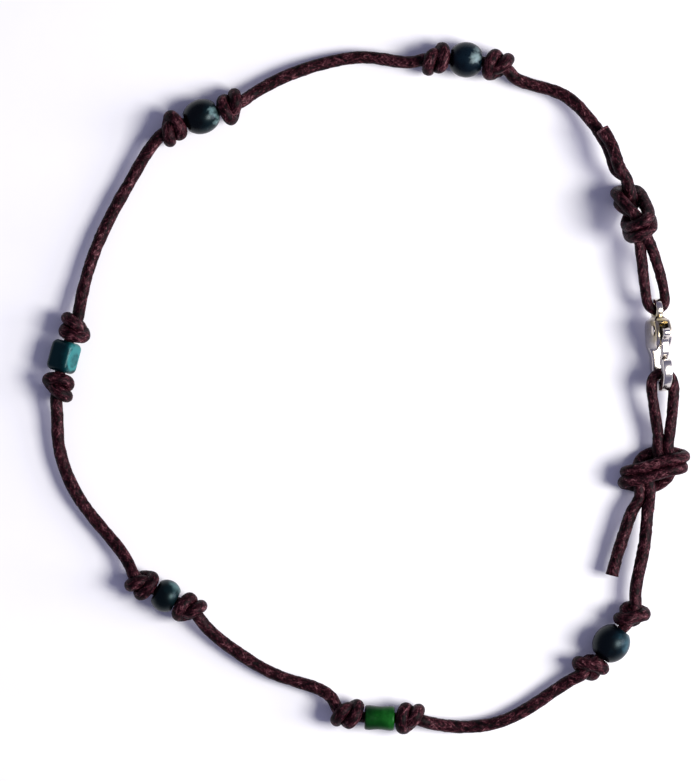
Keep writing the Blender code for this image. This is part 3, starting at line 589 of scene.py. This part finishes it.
def make_cord(material):
    """The waxed cord as one swept tube, with the swell of its strands in its surface."""
    fine = smooth_curve(cord_rows(), CORD_FINE_STEP)
    steps = np.linalg.norm(np.diff(fine[:, :3], axis=0), axis=1)
    lengths = np.concatenate([[0], np.cumsum(steps)])
    count = int(lengths[-1] / CORD_STEP)
    stations = np.linspace(0, lengths[-1], count + 1)
    path = np.stack([np.interp(stations, lengths, fine[:, i]) for i in range(4)], axis=1)
    along, across, upward = upright_frames(path[:, :3])
    turn = np.arange(CORD_SIDES) / CORD_SIDES
    angle = 2 * math.pi * turn
    strand = 2 * math.pi * stations[:, None] / WEAVE_PITCH
    weave = np.sin(strand + WEAVE_STRANDS * angle) * np.sin(strand - WEAVE_STRANDS * angle)
    rng = np.random.default_rng(CORD_SEED)
    waver_places = np.arange(0, lengths[-1] + 2 * WAVER_STEP, WAVER_STEP)
    waver = np.interp(stations, waver_places, rng.normal(0, WAVER_SHARE, len(waver_places)))
    radius = path[:, 3:] / 2 * (1 + waver[:, None]) + WEAVE_HEIGHT * weave
    radius = radius + LUMP_HEIGHT * lumps(stations, turn, rng)
    ring = np.cos(angle)[None, :, None] * across[:, None, :]
    ring = ring + np.sin(angle)[None, :, None] * upward[:, None, :]
    verts = path[:, None, :3] + ring * radius[:, :, None]
    verts = pressed(verts)
    verts[:, :, 2] = np.maximum(verts[:, :, 2], CORD_FLOOR_GAP)
    verts = verts.reshape(-1, 3)
    rows = len(path)
    faces, weave_uv = [], []
    for i in range(rows - 1):
        for j in range(CORD_SIDES):
            k = (j + 1) % CORD_SIDES
            a, b = i * CORD_SIDES, (i + 1) * CORD_SIDES
            faces.append((a + j, a + k, b + k, b + j))
            u0, u1 = stations[i] / WEAVE_PITCH, stations[i + 1] / WEAVE_PITCH
            v0, v1 = j / CORD_SIDES, (j + 1) / CORD_SIDES
            weave_uv += [(u0, v0), (u0, v1), (u1, v1), (u1, v0)]
    start_cap = tuple(range(CORD_SIDES))[::-1]
    end_cap = tuple((rows - 1) * CORD_SIDES + j for j in range(CORD_SIDES))
    faces += [start_cap, end_cap]
    cap_uv = [(CAP_WEAVE_RADIUS * math.cos(a), CAP_WEAVE_RADIUS * math.sin(a)) for a in angle]
    weave_uv += cap_uv + cap_uv
    mesh = bpy.data.meshes.new("braided_cord")
    mesh.from_pydata([tuple(v) for v in verts], [], faces)
    layer = mesh.uv_layers.new(name="weave")
    layer.data.foreach_set("uv", np.array(weave_uv, dtype=np.float32).ravel())
    mesh.update()
    new_piece("braided_cord", mesh, material, "anklet", "cord")


def lathe_mesh(name, profile, sides=LATHE_SIDES, closed=True):
    """A mesh turned about X from a profile of radius and height along the cord."""
    count = len(profile)
    verts, faces = [], []
    for i in range(sides):
        a = 2 * math.pi * i / sides
        verts += [(x, r * math.cos(a), r * math.sin(a)) for r, x in profile]
    for i in range(sides):
        n = (i + 1) % sides
        for j in range(count if closed else count - 1):
            k = (j + 1) % count
            faces.append((i * count + j, i * count + k, n * count + k, n * count + j))
    mesh = bpy.data.meshes.new(name)
    mesh.from_pydata(verts, [], faces)
    work = bmesh.new()
    work.from_mesh(mesh)
    bmesh.ops.remove_doubles(work, verts=work.verts, dist=WELD_DISTANCE)
    bmesh.ops.recalc_face_normals(work, faces=work.faces)
    work.to_mesh(mesh)
    work.free()
    return mesh


def eased_corner(before, corner, after, radius, steps=CORNER_STEPS):
    """Points that round a profile's corner off."""
    before, corner, after = (np.array(p, dtype=float) for p in (before, corner, after))
    start = corner + (before - corner) / np.linalg.norm(before - corner) * radius
    end = corner + (after - corner) / np.linalg.norm(after - corner) * radius
    points = []
    for i in range(steps + 1):
        t = i / steps
        points.append(tuple((1 - t) ** 2 * start + 2 * t * (1 - t) * corner + t**2 * end))
    return points


def round_bead_profile(length, width, face_radius):
    start = math.asin(face_radius / (width / 2))
    arc_points = []
    for i in range(BEAD_ARC_STEPS + 1):
        a = start + (math.pi - 2 * start) * i / BEAD_ARC_STEPS
        arc_points.append((width / 2 * math.sin(a), length / 2 * math.cos(a) / math.cos(start)))
    bore = bead_bore()
    profile = eased_corner((bore, 0), (bore, length / 2), arc_points[0], BEAD_RIM)
    profile += eased_corner((bore, length / 2), arc_points[0], arc_points[3], BEAD_RIM)
    profile += arc_points[3:-3]
    profile += eased_corner(arc_points[-4], arc_points[-1], (bore, -length / 2), BEAD_RIM)
    profile += eased_corner(arc_points[-1], (bore, -length / 2), (bore, 0), BEAD_RIM)
    return profile


def tube_bead_profile(length, width, face_radius):
    radius = width / 2
    bore = bead_bore()
    shoulder = radius - TUBE_WAIST * TUBE_SHOULDER_SHARE
    corner = radius - TUBE_TAPER
    top, low = length / 2, -length / 2
    end = (TUBE_END_ROUND, TUBE_CORNER_STEPS)
    profile = eased_corner((bore, 0), (bore, top), (face_radius, top), TUBE_BORE_RIM)
    profile += eased_corner((bore, top), (corner, top), (shoulder, top / 2), *end)
    for i in range(1, TUBE_ARC_STEPS):
        t = i / TUBE_ARC_STEPS
        x = (top - TUBE_END_LENGTH) * (1 - 2 * t)
        profile.append((radius - TUBE_WAIST * math.cos(math.pi * x / length) ** 2, x))
    profile += eased_corner((shoulder, low / 2), (corner, low), (bore, low), *end)
    profile += eased_corner((face_radius, low), (bore, low), (bore, 0), TUBE_BORE_RIM)
    return profile


def drill_mesh(name, radius, reach, sides):
    """A cylinder along X that reaches as far both ways."""
    profile = [(0, reach), (radius, reach), (radius, -reach), (0, -reach)]
    return lathe_mesh(name, profile, sides, closed=False)


def cube_bead_mesh(length, width):
    work = bmesh.new()
    bmesh.ops.create_cube(work, size=1)
    for vertex in work.verts:
        vertex.co = (vertex.co.x * length, vertex.co.y * width, vertex.co.z * width)
    rounding = {"offset": CUBE_BEAD_ROUND, "segments": CUBE_BEVEL_STEPS, "profile": 0.5}
    bmesh.ops.bevel(work, geom=work.edges[:], affect="EDGES", **rounding)
    block_mesh = bpy.data.meshes.new("teal_block")
    work.to_mesh(block_mesh)
    work.free()
    drill = drill_mesh("teal_drill", bead_bore(), length, LATHE_SIDES)
    return boolean_cut(block_mesh, drill, "bead_teal_cube_glass")


def bead_place(name):
    station = next(row for row in STATIONS if row[0] == name)
    roll = CUBE_BEAD_ROLL if name == "bead_teal_cube" else 0.0
    return station_places(station)[0] @ Matrix.Rotation(math.radians(roll), 4, "X")


def make_bead(name, place, material):
    length, width, face_radius = BEAD_SIZES[name]
    if name == "bead_teal_cube":
        mesh = cube_bead_mesh(length, width)
    elif name == "bead_green_tube":
        mesh = lathe_mesh(name + "_glass", tube_bead_profile(length, width, face_radius))
    else:
        mesh = lathe_mesh(name + "_glass", round_bead_profile(length, width, face_radius))
    new_piece(name + "_glass", mesh, material, "anklet", name, place)
    mesh.set_sharp_from_angle(angle=math.radians(BEAD_SHARP_ANGLE))


def eased(share):
    """A share from 0 to 1 that starts and ends gently."""
    share = min(1.0, max(0.0, share))
    return share * share * (3 - 2 * share)


def clasp_outline():
    """The clasp's rim, anticlockwise: eye, head, spine, hook with its round tip, and back."""
    meet_y = (EYE_RADIUS**2 - HEAD_RADIUS**2 + HEAD_Y**2 - EYE_Y**2) / (2 * (HEAD_Y - EYE_Y))
    meet_x = math.sqrt(HEAD_RADIUS**2 - (meet_y - HEAD_Y) ** 2)
    head_angle = math.degrees(math.atan2(meet_y - HEAD_Y, meet_x))
    eye_angle = math.degrees(math.atan2(meet_y - EYE_Y, meet_x))
    bar_radius = HOOK_RADIUS - HOOK_WIDTH / 2
    tip = math.radians(HOOK_TIP_ANGLE)
    tip_x = bar_radius * math.cos(tip)
    tip_y = HOOK_Y + bar_radius * math.sin(tip)
    rim = arc(0, EYE_Y, EYE_RADIUS, eye_angle, 180 - eye_angle)
    rim += arc(0, HEAD_Y, HEAD_RADIUS, 180 - head_angle, SPINE_OUTER_ANGLE)[1:]
    rim += arc(0, HOOK_Y, HOOK_RADIUS, 180, 360 + HOOK_TIP_ANGLE)
    rim += arc(tip_x, tip_y, HOOK_WIDTH / 2, HOOK_TIP_ANGLE, HOOK_TIP_ANGLE + 180)[1:]
    rim += arc(0, HOOK_Y, HOOK_RADIUS - HOOK_WIDTH, 360 + HOOK_TIP_ANGLE, 180)[1:]
    rim += arc(0, HEAD_Y, HEAD_RADIUS, SPINE_INNER_ANGLE, 360 + head_angle)[:-1]
    return rim


def evaluated_mesh(item):
    graph = bpy.context.evaluated_depsgraph_get()
    return bpy.data.meshes.new_from_object(item.evaluated_get(graph))


def plate_mesh(name, outlines, thickness, edge_round):
    """A plate with rounded edges from a rim and any holes, gridded so that it can be shaped."""
    curve = bpy.data.curves.new(name, "CURVE")
    curve.dimensions = "2D"
    curve.fill_mode = "BOTH"
    curve.extrude = thickness / 2 - edge_round
    curve.bevel_depth = edge_round
    curve.bevel_resolution = PLATE_ROUND_STEPS
    curve.offset = -edge_round
    for outline in outlines:
        line = curve.splines.new("POLY")
        line.points.add(len(outline) - 1)
        for place, (x, y) in zip(line.points, outline):
            place.co = (x, y, 0, 1)
        line.use_cyclic_u = True
    item = new_object(name, curve)
    mesh = evaluated_mesh(item)
    bpy.data.objects.remove(item, do_unlink=True)
    work = bmesh.new()
    work.from_mesh(mesh)
    bmesh.ops.remove_doubles(work, verts=work.verts, dist=WELD_DISTANCE)
    bmesh.ops.recalc_face_normals(work, faces=work.faces)
    for normal in (Vector((1, 0, 0)), Vector((0, 1, 0))):
        for place in np.arange(-PLATE_REACH, PLATE_REACH, PLATE_GRID):
            everything = work.verts[:] + work.edges[:] + work.faces[:]
            cut = {"plane_co": normal * place, "plane_no": normal}
            bmesh.ops.bisect_plane(work, geom=everything, **cut)
    work.to_mesh(mesh)
    work.free()
    return mesh


def boolean_cut(mesh, cutter_mesh, name):
    """The mesh less the cutter, worked out once."""
    target = new_object(name, mesh)
    cutter = new_object(name + "_cutter", cutter_mesh)
    difference = target.modifiers.new("cut", "BOOLEAN")
    difference.solver = "EXACT"
    difference.object = cutter
    result = evaluated_mesh(target)
    for item in (target, cutter):
        bpy.data.objects.remove(item, do_unlink=True)
    return result


def box_mesh(name, low, high):
    work = bmesh.new()
    bmesh.ops.create_cube(work, size=1)
    for vertex in work.verts:
        vertex.co = [high[i] if vertex.co[i] > 0 else low[i] for i in range(3)]
    mesh = bpy.data.meshes.new(name)
    work.to_mesh(mesh)
    work.free()
    return mesh


def turned_along_z(mesh):
    mesh.transform(Matrix.Rotation(math.radians(-90), 4, "Y"))
    return mesh


def pivot_place():
    return clasp_place() @ Matrix.Translation((PIVOT_X, PIVOT_Y, 0))


def make_clasp_body(material):
    """Eye, head, spine and hook: full thickness at the head's cheeks, thinner to both ends."""
    hole = arc(0, EYE_Y, EYE_HOLE_RADIUS, 0, 360)[:-1]
    mesh = plate_mesh("cast_clasp", [clasp_outline(), hole], CLASP_THICKNESS, CLASP_EDGE_ROUND)
    hook_share = HOOK_THICKNESS / CLASP_THICKNESS
    eye_share = EYE_THICKNESS / CLASP_THICKNESS
    cheek_low = HEAD_Y - CHEEK_HALF_LENGTH
    cheek_high = HEAD_Y + CHEEK_HALF_LENGTH
    hook_top = HOOK_Y + HOOK_RADIUS / 2
    eye_low = EYE_Y - EYE_HOLE_RADIUS
    for vertex in mesh.vertices:
        y = vertex.co.y
        down = eased((cheek_low - y) / (cheek_low - hook_top))
        up = eased((y - cheek_high) / (eye_low - cheek_high))
        vertex.co.z *= 1 - down * (1 - hook_share) - up * (1 - eye_share)
    slot_low = (SLOT_BACK_X, SLOT_FROM_Y, -SLOT_WIDTH / 2)
    slot_high = (2 * HEAD_RADIUS, SLOT_TO_Y, SLOT_WIDTH / 2)
    mesh = boolean_cut(mesh, box_mesh("slot", slot_low, slot_high), "cast_clasp")
    bore = RIVET_RADIUS + RIVET_CLEARANCE
    drill = turned_along_z(drill_mesh("drill", bore, CLASP_THICKNESS, DRILL_SIDES))
    drill.transform(Matrix.Translation((PIVOT_X, PIVOT_Y, 0)))
    mesh = boolean_cut(mesh, drill, "cast_clasp")
    place = clasp_place()
    new_piece("cast_clasp", mesh, material, "anklet", "clasp_body", place)
    mesh.set_sharp_from_angle(angle=math.radians(CLASP_SHARP_ANGLE))


def make_clasp_lever(material):
    route = [(x - PIVOT_X, y - PIVOT_Y, 0) for x, y in LEVER_OUTLINE]
    sides = [(point[0], point[1]) for point in smooth_curve(route, LEVER_STEP)]
    outline = arc(0, 0, LEVER_EYE_RADIUS, LEVER_EYE_FROM, LEVER_EYE_TO) + sides[::-1]
    hole = arc(0, 0, RIVET_RADIUS + RIVET_CLEARANCE, 0, 360)[:-1]
    mesh = plate_mesh("sprung_lever", [outline, hole], LEVER_THICKNESS, LEVER_EDGE_ROUND)
    place = pivot_place()
    new_piece("sprung_lever", mesh, material, "lever", "clasp_lever", place)
    mesh.set_sharp_from_angle(angle=math.radians(CLASP_SHARP_ANGLE))


def make_clasp_rivet(material):
    seat = CLASP_THICKNESS / 2 + RIVET_CLEARANCE
    half = []
    for i in range(RIVET_ARC_STEPS + 1):
        a = math.pi / 2 * i / RIVET_ARC_STEPS
        share = RIVET_RIM_SHARE + (1 - RIVET_RIM_SHARE) * math.cos(a)
        half.append((RIVET_HEAD_RADIUS * math.sin(a), seat + RIVET_HEAD_HEIGHT * share))
    half += [(RIVET_HEAD_RADIUS, seat), (RIVET_RADIUS, seat)]
    profile = half + [(r, -h) for r, h in reversed(half)]
    mesh = turned_along_z(lathe_mesh("domed_rivet", profile, RIVET_SIDES, closed=False))
    place = pivot_place()
    new_piece("domed_rivet", mesh, material, "anklet", "clasp_rivet", place)
    mesh.set_sharp_from_angle(angle=math.radians(RIVET_SHARP_ANGLE))


class Nodes:
    """A material's nodes, made and joined in a few words."""

    def __init__(self, name):
        self.material = bpy.data.materials.new(name)
        self.material.use_nodes = True
        self.tree = self.material.node_tree
        self.shader = self.tree.nodes["Principled BSDF"]

    def add(self, kind, **settings):
        node = self.tree.nodes.new("ShaderNode" + kind)
        for key, value in settings.items():
            setattr(node, key, value)
        return node

    def join(self, source, target):
        self.tree.links.new(source, target)

    def sets(self, **values):
        for key, value in values.items():
            self.shader.inputs[key.replace("_", " ")].default_value = value

    def noise(self, scale, detail=3.0, roughness=0.6, stretch=(1, 1, 1), vector=None):
        if vector is None:
            place = self.add("TexCoord")
            scaled = self.add("Mapping")
            scaled.inputs["Scale"].default_value = stretch
            self.join(place.outputs["Object"], scaled.inputs["Vector"])
            vector = scaled.outputs["Vector"]
        noise = self.add("TexNoise")
        noise.inputs["Scale"].default_value = scale
        noise.inputs["Detail"].default_value = detail
        noise.inputs["Roughness"].default_value = roughness
        self.join(vector, noise.inputs["Vector"])
        return noise.outputs["Fac"]

    def math(self, operation, first, second=None, third=None):
        node = self.add("Math", operation=operation)
        for socket, value in zip(node.inputs, (first, second, third)):
            if value is None:
                continue
            if isinstance(value, (int, float)):
                socket.default_value = value
            else:
                self.join(value, socket)
        return node.outputs[0]

    def ramp(self, factor, stops):
        node = self.add("ValToRGB")
        elements = node.color_ramp.elements
        while len(elements) < len(stops):
            elements.new(0.5)
        for element, (place, colour) in zip(elements, stops):
            element.position = place
            element.color = (*colour, 1.0)
        self.join(factor, node.inputs["Fac"])
        return node.outputs["Color"]

    def bump(self, height, strength, distance):
        node = self.add("Bump")
        node.inputs["Strength"].default_value = strength
        node.inputs["Distance"].default_value = distance
        self.join(height, node.inputs["Height"])
        self.join(node.outputs["Normal"], self.shader.inputs["Normal"])


def strand_noise(look, along, around, slant, scale, detail):
    """Streaks that run round the cord at a slant, in coordinates that close round it."""
    turned = look.math("MULTIPLY_ADD", along, slant, around)
    angle = look.math("MULTIPLY", turned, 2 * math.pi)
    place = look.add("CombineXYZ")
    look.join(look.math("COSINE", angle), place.inputs["X"])
    look.join(look.math("SINE", angle), place.inputs["Y"])
    look.join(look.math("MULTIPLY", along, STREAK_STRETCH), place.inputs["Z"])
    return look.noise(scale, detail, 0.65, vector=place.outputs["Vector"])


def waxed_cord_look():
    """Maroon strands with painted shade, near black, in the hollows between them and painted pinkish
    sheen highlights on their tops, with random blotches of tone.
    """
    look = Nodes("waxed_braid")
    place = look.add("UVMap", uv_map="weave")
    parts = look.add("SeparateXYZ")
    look.join(place.outputs["UV"], parts.inputs["Vector"])
    along, around = parts.outputs["X"], parts.outputs["Y"]
    left = strand_noise(look, along, around, SLANT_LEFT, 3.2, 2)
    right = strand_noise(look, along, around, SLANT_RIGHT, 2.6, 2)
    strands = look.math("MAXIMUM", left, right)
    fibre = look.noise(4600, 3, 0.7)
    blotch = look.noise(1100, 3, 0.6)
    tone = look.math("MULTIPLY_ADD", strands, 0.66, look.math("MULTIPLY_ADD", fibre, 0.34, -0.17))
    tone = look.math("MULTIPLY_ADD", blotch, 0.42, tone)
    cut_end = look.math("LESS_THAN", along, CUT_END_LENGTH)
    tone = look.math("MULTIPLY_ADD", cut_end, CUT_END_TONE, tone)
    # Painted shade at the dark end, in the strands' hollows, and painted sheen highlights at the
    # pale end, on their tops
    stops = [
        (0.46, (0.0008, 0.0001, 0.0003)),
        (0.57, (0.0130, 0.0018, 0.0038)),
        (0.66, (0.0560, 0.0145, 0.0200)),
        (0.78, (0.2200, 0.0980, 0.1050)),
    ]
    look.join(look.ramp(tone, stops), look.shader.inputs["Base Color"])
    look.join(look.math("MULTIPLY_ADD", fibre, -0.35, 0.66), look.shader.inputs["Roughness"])
    look.sets(Specular_IOR_Level=0.06)
    height = look.math("MULTIPLY_ADD", strands, 1.0, look.math("MULTIPLY", fibre, 0.5))
    look.bump(height, 0.55, 0.12 * MM)
    return look.material


def painted_oval_highlight(look, spot):
    """A painted highlight: a paler oval rim on the cube bead's right face, which looks along its own
    +Y.
    """
    parts = look.add("SeparateXYZ")
    look.join(spot.outputs["Object"], parts.inputs["Vector"])
    x = look.math("MULTIPLY", parts.outputs["X"], 1 / OVAL_HALF_LENGTH)
    z = look.math("MULTIPLY", parts.outputs["Z"], 1 / OVAL_HALF_WIDTH)
    away = look.math("SQRT", look.math("MULTIPLY_ADD", x, x, look.math("MULTIPLY", z, z)))
    off = look.math("ABSOLUTE", look.math("SUBTRACT", away, 1.0))
    ring = look.math("MAXIMUM", look.math("MULTIPLY_ADD", off, -1 / OVAL_RIM_SHARE, 1.0), 0.0)
    return look.math("MULTIPLY", ring, look.math("GREATER_THAN", parts.outputs["Y"], OVAL_DEPTH))


def glass_look(name, stops, tint, roughness, toward, place, has_painted_oval):
    """Dark glass with painted light and shade: paler towards the side that faces the lamps, darker
    away from it, with random cloud in its tone.
    """
    look = Nodes(name)
    spot = look.add("TexCoord")
    side = look.add("VectorMath", operation="DOT_PRODUCT")
    look.join(spot.outputs["Object"], side.inputs[0])
    side.inputs[1].default_value = place.inverted().to_3x3() @ Vector(toward).normalized()
    cloud = look.noise(700, 3, 0.6)
    # Painted light and shade: the tone rises towards the side that faces the lamps
    tone = look.math("MULTIPLY_ADD", side.outputs["Value"], LIT_SIDE_PAINT_SLOPE, cloud)
    # Painted highlight on the cube bead's right face
    if has_painted_oval:
        tone = look.math("MULTIPLY_ADD", painted_oval_highlight(look, spot), OVAL_HIGHLIGHT_TONE, tone)
    tone = look.math("MULTIPLY", tone, 1 / TONE_TOP)
    look.join(look.ramp(tone, stops), look.shader.inputs["Base Color"])
    smudge = look.math("MULTIPLY_ADD", look.noise(1500, 2, 0.5), 0.12, roughness - 0.06)
    look.join(smudge, look.shader.inputs["Roughness"])
    look.sets(IOR=GLASS_IOR, Specular_Tint=(*tint, 1.0))
    look.bump(look.noise(620, 2, 0.4), 0.25, 0.05 * MM)
    return look.material


def cast_metal_look(name, centre, reach):
    """Bright cast metal with a painted warm olive reflection round a place on it."""
    look = Nodes(name)
    spot = look.add("TexCoord")
    away = look.add("VectorMath", operation="DISTANCE")
    look.join(spot.outputs["Object"], away.inputs[0])
    away.inputs[1].default_value = centre
    # Painted reflection: olive near the place, silver away from it, with random tone
    tone = look.math("MULTIPLY_ADD", away.outputs["Value"], 0.5 / reach, look.noise(620, 4, 0.6))
    stops = [(0.70, OLIVE_REFLECTION), (1.0, SILVER)]
    look.join(look.ramp(tone, stops), look.shader.inputs["Base Color"])
    rough = look.math("MULTIPLY_ADD", look.noise(2500, 3, 0.6, (1, 0.25, 1)), 0.14, METAL_ROUGHNESS)
    look.join(rough, look.shader.inputs["Roughness"])
    look.sets(Metallic=1.0)
    look.bump(look.noise(900, 2, 0.5), 0.06, 0.05 * MM)
    return look.material


# Colours of the glass from its painted shaded side to its painted lit side, with the place of each
# in its tone.
# columns: bead, slot, tint of its shine, roughness, the way its painted lit side faces, stops
GLASS_LOOKS = [
    ("bead_blue_black_1", "glass_blue_black", (0.75, 0.95, 1.0), 0.28, (0.42, 0.16, 0.90),
        [(0.80, (0.0006, 0.0012, 0.0024)), (1.18, (0.002, 0.007, 0.012)),
         (1.42, (0.15, 0.21, 0.21))]),
    ("bead_blue_black_2", "glass_blue_black", (0.75, 0.95, 1.0), 0.28, (0.80, -0.05, 0.60),
        [(0.80, (0.0006, 0.0008, 0.0012)), (1.20, (0.001, 0.006, 0.008)),
         (1.42, (0.12, 0.20, 0.20))]),
    ("bead_teal_cube", "glass_teal", (0.60, 0.97, 1.0), 0.30, (0.95, 0.0, 0.31),
        [(0.55, (0.0004, 0.009, 0.012)), (0.85, (0.001, 0.022, 0.026)),
         (1.20, (0.026, 0.16, 0.16))]),
    ("bead_dark_teal", "glass_dark_teal", (0.65, 0.97, 1.0), 0.32, (0.80, 0.45, 0.40),
        [(0.75, (0.0006, 0.0016, 0.0020)), (1.10, (0.002, 0.009, 0.011)),
         (1.36, (0.05, 0.10, 0.10))]),
    ("bead_green_tube", "glass_green", (0.70, 1.0, 0.85), 0.32, (0.40, 0.10, 0.90),
        [(0.50, (0.0004, 0.010, 0.0006)), (0.95, (0.001, 0.036, 0.002)),
         (1.30, (0.008, 0.095, 0.010))]),
    ("bead_navy", "glass_navy", (0.70, 0.95, 1.0), 0.32, (0.80, 0.0, 0.60),
        [(0.90, (0.0005, 0.0010, 0.0018)), (1.22, (0.001, 0.006, 0.010)),
         (1.54, (0.022, 0.060, 0.078))]),
]

make_cord(waxed_cord_look())
for name, slot, tint, roughness, toward, stops in GLASS_LOOKS:
    stops = [(tone / TONE_TOP, colour) for tone, colour in stops]
    place = bead_place(name)
    has_painted_oval = name == "bead_teal_cube"
    glass = glass_look(name + "_look", stops, tint, roughness, toward, place, has_painted_oval)
    make_bead(name, place, glass)

clasp_look = cast_metal_look("cast_silver_metal", BODY_REFLECTION_SPOT, BODY_REFLECTION_REACH)
lever_look = cast_metal_look("lever_silver_metal", (0, 0, 0), LEVER_REFLECTION_REACH)
make_clasp_body(clasp_look)
make_clasp_lever(lever_look)
make_clasp_rivet(lever_look)


def make_floor():
    mesh = bpy.data.meshes.new("table_top")
    signs = ((-1, -1), (1, -1), (1, 1), (-1, 1))
    corners = [(x * FLOOR_REACH, y * FLOOR_REACH, 0) for x, y in signs]
    mesh.from_pydata(corners, [], [(0, 1, 2, 3)])
    floor = new_object("table_top", mesh)
    look = Nodes("white_table")
    stops = [(0.3, (0.88, 0.88, 0.89)), (0.7, (0.91, 0.91, 0.91))]
    look.join(look.ramp(look.noise(60, 4, 0.6), stops), look.shader.inputs["Base Color"])
    look.sets(Roughness=0.9, Specular_IOR_Level=0.1)
    mesh.materials.append(look.material)


def soft_box(name, place, size, power, colour):
    """A square light that looks at the middle of the floor."""
    light = bpy.data.lights.new(name, "AREA")
    light.size = size
    light.energy = power
    light.color = colour
    lamp = new_object(name, light)
    lamp.location = place
    lamp.rotation_euler = (-Vector(place)).to_track_quat("-Z", "Y").to_euler()


make_floor()
soft_box("key_light", (0.39, -0.06, 0.42), 0.24, 4.3, (1.0, 0.98, 0.95))
soft_box("low_light", (0.56, -0.02, 0.20), 0.24, 2.0, (0.92, 0.88, 1.0))

world = bpy.data.worlds.new("studio")
bpy.context.scene.world = world
world.use_nodes = True
sky = world.node_tree.nodes["Background"]
sky.inputs["Color"].default_value = (0.62, 0.62, 1.0, 1.0)
sky.inputs["Strength"].default_value = 0.33

camera_data = bpy.data.cameras.new("camera")
camera_data.sensor_width = SENSOR_WIDTH
camera_data.lens = SENSOR_WIDTH * (CAMERA_HEIGHT - FOCUS_HEIGHT) / PHOTO_HEIGHT
camera_data.clip_start = 0.01
camera = new_object("camera", camera_data)
camera.location = (CAMERA_X, CAMERA_Y, CAMERA_HEIGHT)
bpy.context.scene.camera = camera
bpy.context.scene.view_settings.view_transform = "Standard"
